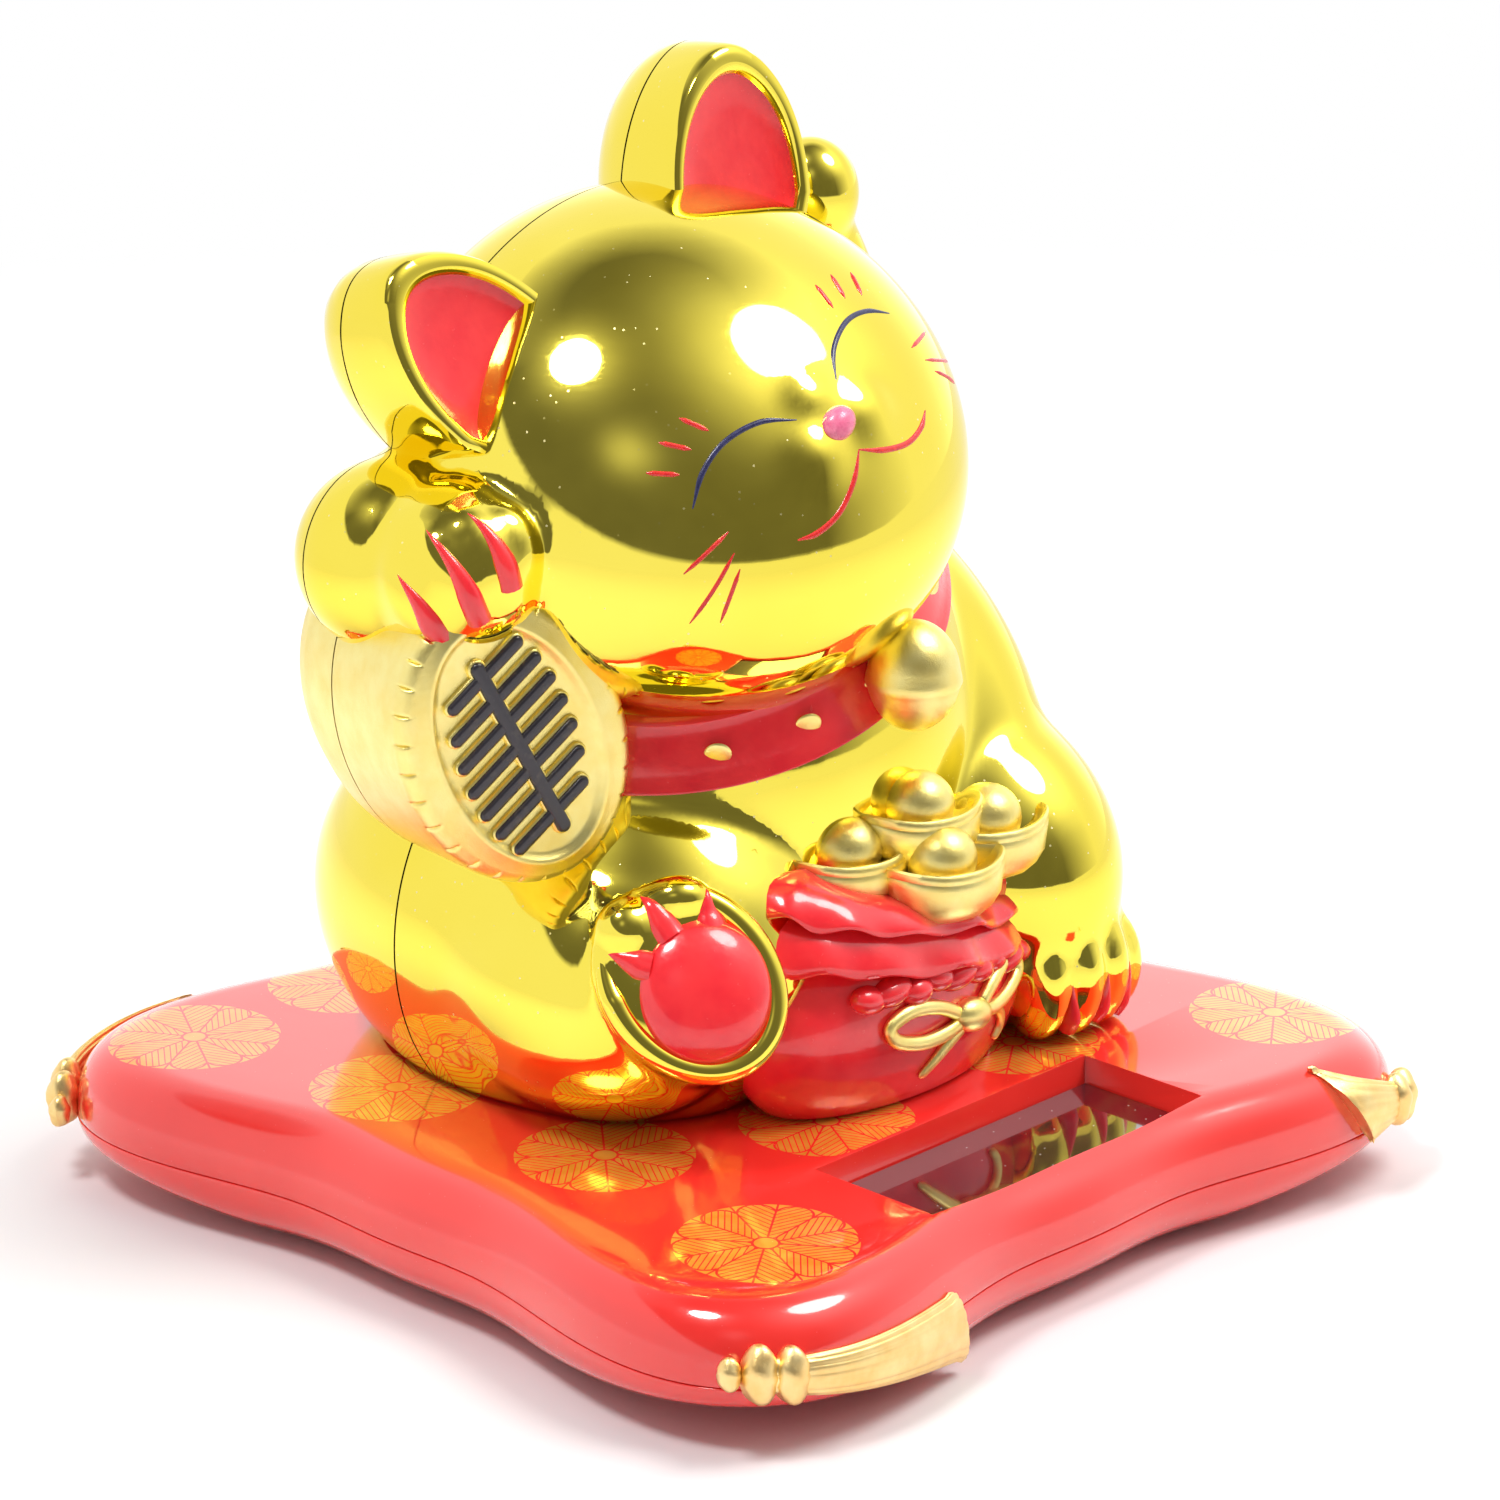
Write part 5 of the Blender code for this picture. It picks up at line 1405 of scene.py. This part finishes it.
# %% Outline and halves
CUSHION_MEAN, CUSHION_CORNER, CUSHION_WAIST, CUSHION_EDGE = 55.5, 9.3, 2.1, 7.0


def side_point(angle, z, out=0.0):
    """A place on the cushion's outline, or a distance out from it."""
    corner = 4 * (angle - pi / 4)
    reach = CUSHION_MEAN + CUSHION_CORNER * cos(corner) + CUSHION_WAIST * cos(2 * corner) + out
    return Vector((reach * cos(angle), reach * sin(angle), z))


def cushion_levels(start, end, steps=22):
    """Insets and heights from the parting line to the flat."""
    sign = 1 if end > start else -1
    made = [(0.16, start), (0.04, start + 0.05 * sign), (0.0, start + 0.14 * sign)]
    for step in range(1, steps + 1):
        angle = pi / 2 * step / steps
        height = sin(angle) ** 0.8 * abs(end - start)
        if height > 0.4:
            made.append((CUSHION_EDGE * (1 - cos(angle) ** 0.8), start + height * sign))
    return made


def cushion_half(start, end, lift=0.0):
    """One half, from the parting line to its flat. lift: how far the corners rise."""
    form = bmesh.new()

    def corner(level, share):
        inset, z = level
        angle = 2 * pi * share
        cornered = max(0.0, cos(4 * (angle - pi / 4))) ** 1.5 * (inset < CUSHION_EDGE + 1)
        return side_point(angle, z + lift * cornered * (start - z) / abs(end - start), -inset)

    rod(form, cushion_levels(start, end) + [(CUSHION_EDGE + 6, end)], corner, 384)
    return form


lower = cushion_half(PARTING_Z - 0.08, FOOT_Z, 2.4)
keep("cushion_lower", lower, "red_gloss", ["cushion_bottom_shell"])
upper = cushion_half(PARTING_Z, TOP_Z)
printed = polished_red("printed_red", FLOWERS)
top = keep("cushion_upper", upper, "red_gloss", ["cushion_top_shell"], printed)

# %% [markdown]
# ## Recess for the solar cell
# The recess for the solar cell is cut with a box that is a little larger than the cell. A
# Boolean does this well, because the recess runs from the flat top into the rounded edge. A
# narrow Bevel then takes the sharpness off the cut, as a mould would.

# %% Cut the recess
CELL = [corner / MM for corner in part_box("solar_cell")]
CLEARANCE, FLARE = 0.3, 0.5  # room round the cell, and how much wider the cutter is at its top
low = Vector([value - CLEARANCE for value in CELL[0]])
high = Vector((CELL[1].x + CLEARANCE, CELL[1].y + CLEARANCE, TOP_Z + 4))
box = Matrix.Translation((low + high) / 2) @ Matrix.Diagonal((*(high - low), 1))
recess = bmesh.new()
bmesh.ops.create_cube(recess, size=1)
bmesh.ops.transform(recess, matrix=box, verts=recess.verts)
for vert in recess.verts:
    if vert.co.z > TOP_Z:
        vert.co.x += FLARE * (1 if vert.co.x > 0 else -1)
        vert.co.y += FLARE * (1 if vert.co.y > (low.y + high.y) / 2 else -1)
bmesh.ops.recalc_face_normals(recess, faces=recess.faces)
bmesh.ops.scale(recess, vec=(MM, MM, MM), verts=recess.verts)
cutter = as_object("recess", recess)
cut = top.modifiers.new("recess", "BOOLEAN")
cut.object = cutter
cut.operation = "DIFFERENCE"
edge = top.modifiers.new("soft_edge", "BEVEL")
edge.width = 0.35 * MM
edge.segments = 3
edge.limit_method = "ANGLE"
edge.angle_limit = radians(50)
cut_mesh = modified(top)
top.modifiers.clear()
top.data = cut_mesh
top.data.set_sharp_from_angle(angle=radians(40))
bpy.data.objects.remove(cutter, do_unlink=True)
print("Cushion top:", len(top.data.polygons), "faces")

# %% [markdown]
# ## Tassels
# A tassel lies along the edge at each corner. A twisted knot of three beads holds its head, and
# its skirt of cords fans out and ends in a straight trim. The skirt is a flat sweep whose section is
# scalloped, so that each scallop reads as a cord.

# %% Sizes of the tassels
# Each tassel: the angles of its knot and of its skirt's end, how the skirt rises, half its height
# at the end, the end's slant, and how far the whole tassel stands out
TASSELS = {
    "tassel_front_right": (227, 246.5, -1.8, 3.4, -0.9, 0.3),
    "tassel_front_left": (311.5, 303.7, 3.3, 3.5, 2.8, 0.8),
    "tassel_rear_right": (135, 120.5, 3.0, 3.3, 0.8, 1.2),
    "tassel_rear_left": (45, 66, -0.8, 3.4, -0.9, 0.3),
}
# Each bead of a knot: how far along, its radius, and how long it is next to that
KNOT_BEADS = [(-4.2, 1.1, 1.5), (-1.4, 1.75, 1.65), (1.6, 1.7, 1.65)]
SPINE_STEPS = 28


# %% A tassel
def rounding(z):
    """How far the cushion's upper edge has drawn in at a height."""
    share = min(max((z - PARTING_Z) / (TOP_Z - PARTING_Z), 0.0), 0.95)
    return CUSHION_EDGE * (1 - cos(asin(share**1.25)) ** 0.8)


def tassel(knot, end, rise, flare, slant, away):
    """A flat skirt of cords along the cushion's edge, with the twisted knot that holds it."""
    form = bmesh.new()

    def spine(share):
        angle = radians(knot + (end - knot) * share)
        return side_point(angle, PARTING_Z + 1.4 + (rise - 1.2) * share, away)

    def corner(number, share):
        at = number / SPINE_STEPS
        here = spine(at)
        ahead = (spine(at + 0.02) - spine(at - 0.02)).normalized()
        out = ahead.cross(UP).normalized()
        out = out if out.dot(Vector((here.x, here.y, 0))) > 0 else -out
        tall = 1.7 + (flare - 1.7) * at**1.2 + 0.25 * max(0.0, 1 - ((at - 0.97) / 0.03) ** 2)
        angle = 2 * pi * share
        cord = 1 + 0.07 * abs(sin(angle * 7)) * min(1.0, at * 5)
        bulge = 0.55 - 0.29 * at
        here = here + ahead * slant * cos(angle) * at**2
        point = here + (UP * cos(angle) * tall + out * sin(angle) * tall * bulge) * cord
        return point - out * rounding(point.z) * at

    rod(form, range(SPINE_STEPS + 1), corner, 112)
    ahead = (spine(0.06) - spine(0.0)).normalized()
    for along_it, radius, tall in KNOT_BEADS:
        place = spine(0.0) + ahead * along_it
        for vert in ball(form, place, (radius, radius, radius * tall)):
            local = vert.co - place
            round_it = atan2(local.z, local.dot(ahead.cross(UP)))
            vert.co += local * 0.05 * sin(round_it * 5 + local.dot(ahead) * 1.6)
    return form


for name, sizes in TASSELS.items():
    keep(name + "_cords", tassel(*sizes), "gold_satin", [name], TASSEL_GOLD)

# %% [markdown]
# ## Floor
# The figurine stands on a plain pale floor, which keeps its shadow near it and turns to plain
# white further away. The white part glows of itself, but only for the camera and for mirrors, so
# that it adds no light to the scene. A floor that is painted white would still look grey here.

# %% Floor
WHITE_FROM, WHITE_AT = 0.16, 0.42  # metres from the middle
floor_form = bmesh.new()
bmesh.ops.create_grid(floor_form, x_segments=1, y_segments=1, size=2.0)
bmesh.ops.translate(floor_form, vec=(0, 1.1, 0), verts=floor_form.verts)
floor = as_object("floor", floor_form)
pale = Finish("pale_floor", Roughness=0.7, Specular_IOR_Level=0.1)
pale.feed(Base_Color=pale.blend(pale.noise(0.01, 2.0), (0.76, 0.745, 0.755), (0.80, 0.785, 0.795)))
by_camera = pale.node("LightPath", {}, {}, "Is Camera Ray")
by_mirror = pale.node("LightPath", {}, {}, "Is Glossy Ray")
seen = pale.math("MAXIMUM", by_camera, by_mirror)
far = pale.between(pale.vector("LENGTH", pale.place, output="Value"), WHITE_FROM, WHITE_AT)
white = pale.tree.nodes.new("ShaderNodeEmission")
mixed = pale.tree.nodes.new("ShaderNodeMixShader")
pale.tree.links.new((seen * far).socket, mixed.inputs[0])
pale.tree.links.new(pale.shader.outputs[0], mixed.inputs[1])
pale.tree.links.new(white.outputs[0], mixed.inputs[2])
pale.tree.links.new(mixed.outputs[0], pale.tree.nodes["Material Output"].inputs["Surface"])
floor.data.materials.append(pale.material)
floor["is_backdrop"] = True
print("Floor: white from", WHITE_FROM, "to", WHITE_AT, "m")

# %% [markdown]
# ## Lamps
# Soft round lamps give the highlights that a mirror finish needs. One hangs over the cat, one is
# at the front, and one behind it brings out the edges. The last doesn't show in the mirrors, as
# a third round highlight would only confuse the form. Small bare bulbs would be too harsh.


# %% Three lamps
def lamp(name, distance, way, size, power, colour=(1, 1, 1)):
    """A round soft lamp that shines on the figurine from one direction."""
    light = bpy.data.lights.new(name, "AREA")
    light.shape = "DISK"
    light.size = size
    light.energy = power
    light.color = colour
    made = linked(name, light)
    made.location = Vector(way).normalized() * distance + Vector((0, 0, 0.05))
    made.rotation_euler = Vector(way).to_track_quat("Z", "Y").to_euler()
    print(f"{name}: {size} m across, {power} W")
    return made


lamp("lamp_over", 0.75, (-0.44, 0.06, 0.89), 0.20, 2.8)
lamp("lamp_front", 0.75, (0.33, -0.40, 0.85), 0.34, 3.2, (1.0, 0.98, 0.95))
lamp("lamp_back", 1.1, (0.30, 0.62, 0.62), 0.9, 3.0).visible_glossy = False

# %% [markdown]
# ## The room in the mirrors
# The gold shows the whole room, so the room matters as much as the gold. A picture of a real room
# would do, but formulas need no file. Each patch is bright towards one direction: a wide pale
# backdrop, a glow round each lamp, and white paper round the foot. The viewer's side stays
# darker, as a studio is, and the camera itself sees plain white.

# %% Room
world = bpy.data.worlds.new("room")
bpy.context.scene.world = world
world.use_nodes = True


class Room(Finish):
    """The world's nodes, by the same methods as a finish."""

    def __init__(self):
        self.tree = world.node_tree
        self.shader = self.tree.nodes["Background"]
        self.shader.inputs["Color"].default_value = (1, 1, 1, 1)
        self.way = self.node("TexCoord", {}, {}, "Generated")

    def towards(self, way):
        return self.vector("DOT_PRODUCT", self.way, Vector(way).normalized(), output="Value")

    def glow(self, way, tightness, strength):
        """A soft bright patch of the room, in one direction."""
        return self.math("MAXIMUM", self.towards(way), 0.0) ** tightness * strength


sky = Room()
_, ahead, up = sky.axes(sky.way)
backdrop = sky.between(sky.towards((0.866, 0.5, 0)), -0.30, 0.42) * sky.between(up, 0.93, 0.77)
walls = 0.13 + 0.06 * sky.noise(3.0, 2.0, sky.way) + 0.85 * backdrop
walls = walls + sky.glow((0.84, 0.48, -0.1), 9, 1.2) + sky.glow((-0.44, 0.06, 0.89), 50, 0.8)
walls = walls + sky.glow((0.33, -0.45, 0.82), 12, 1.3) + sky.glow((-0.62, -0.42, 0.62), 90, 0.45)
paper = sky.between(up - 0.4 * (1.0 + ahead) ** 1.6, -0.05, -0.11)
by_camera = sky.node("LightPath", {}, {}, "Is Camera Ray")
sky.feed(Strength=sky.math("MAXIMUM", sky.math("MAXIMUM", walls, paper), by_camera))
print("Room:", len(sky.tree.nodes), "nodes")

# %% [markdown]
# ## Camera
# The camera looks from the cat's front right, a little above it and half a metre away. A long
# lens keeps the cushion's edges almost parallel, as in a catalogue. The view is given as two
# angles and a distance from the figurine's middle, which is easier to reason about than a place.

# %% Camera
AZIMUTH, ELEVATION, DISTANCE = radians(-46.1), radians(18.75), 0.4993
LOOK_AT = Vector((0.0021, 0, 0.0439))
lens = bpy.data.cameras.new("view")
lens.lens = 120
lens.sensor_width = 36
lens.clip_start, lens.clip_end = 0.05, 20
camera = linked("view", lens)
flat = cos(ELEVATION)
back = Vector((sin(AZIMUTH) * flat, -cos(AZIMUTH) * flat, sin(ELEVATION)))
camera.location = LOOK_AT + back * DISTANCE
camera.rotation_mode = "QUATERNION"
camera.rotation_quaternion = (-back).to_track_quat("-Z", "Y")
bpy.context.scene.camera = camera
bpy.context.scene.view_settings.view_transform = "Standard"
print("Camera at, in m:", [round(value, 3) for value in camera.location])

# %% [markdown]
# The dressed figurine must not be bigger than the CAD model. Both boxes are written down.

# %% Print how far the corners moved
VISUAL_BOX = [list(corner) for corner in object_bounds()]
for cad_corner, visual_corner in zip(CAD_BOX, VISUAL_BOX):
    print("Corner moved, in mm:", [round((b - a) / MM, 2) for a, b in zip(cad_corner, visual_corner)])
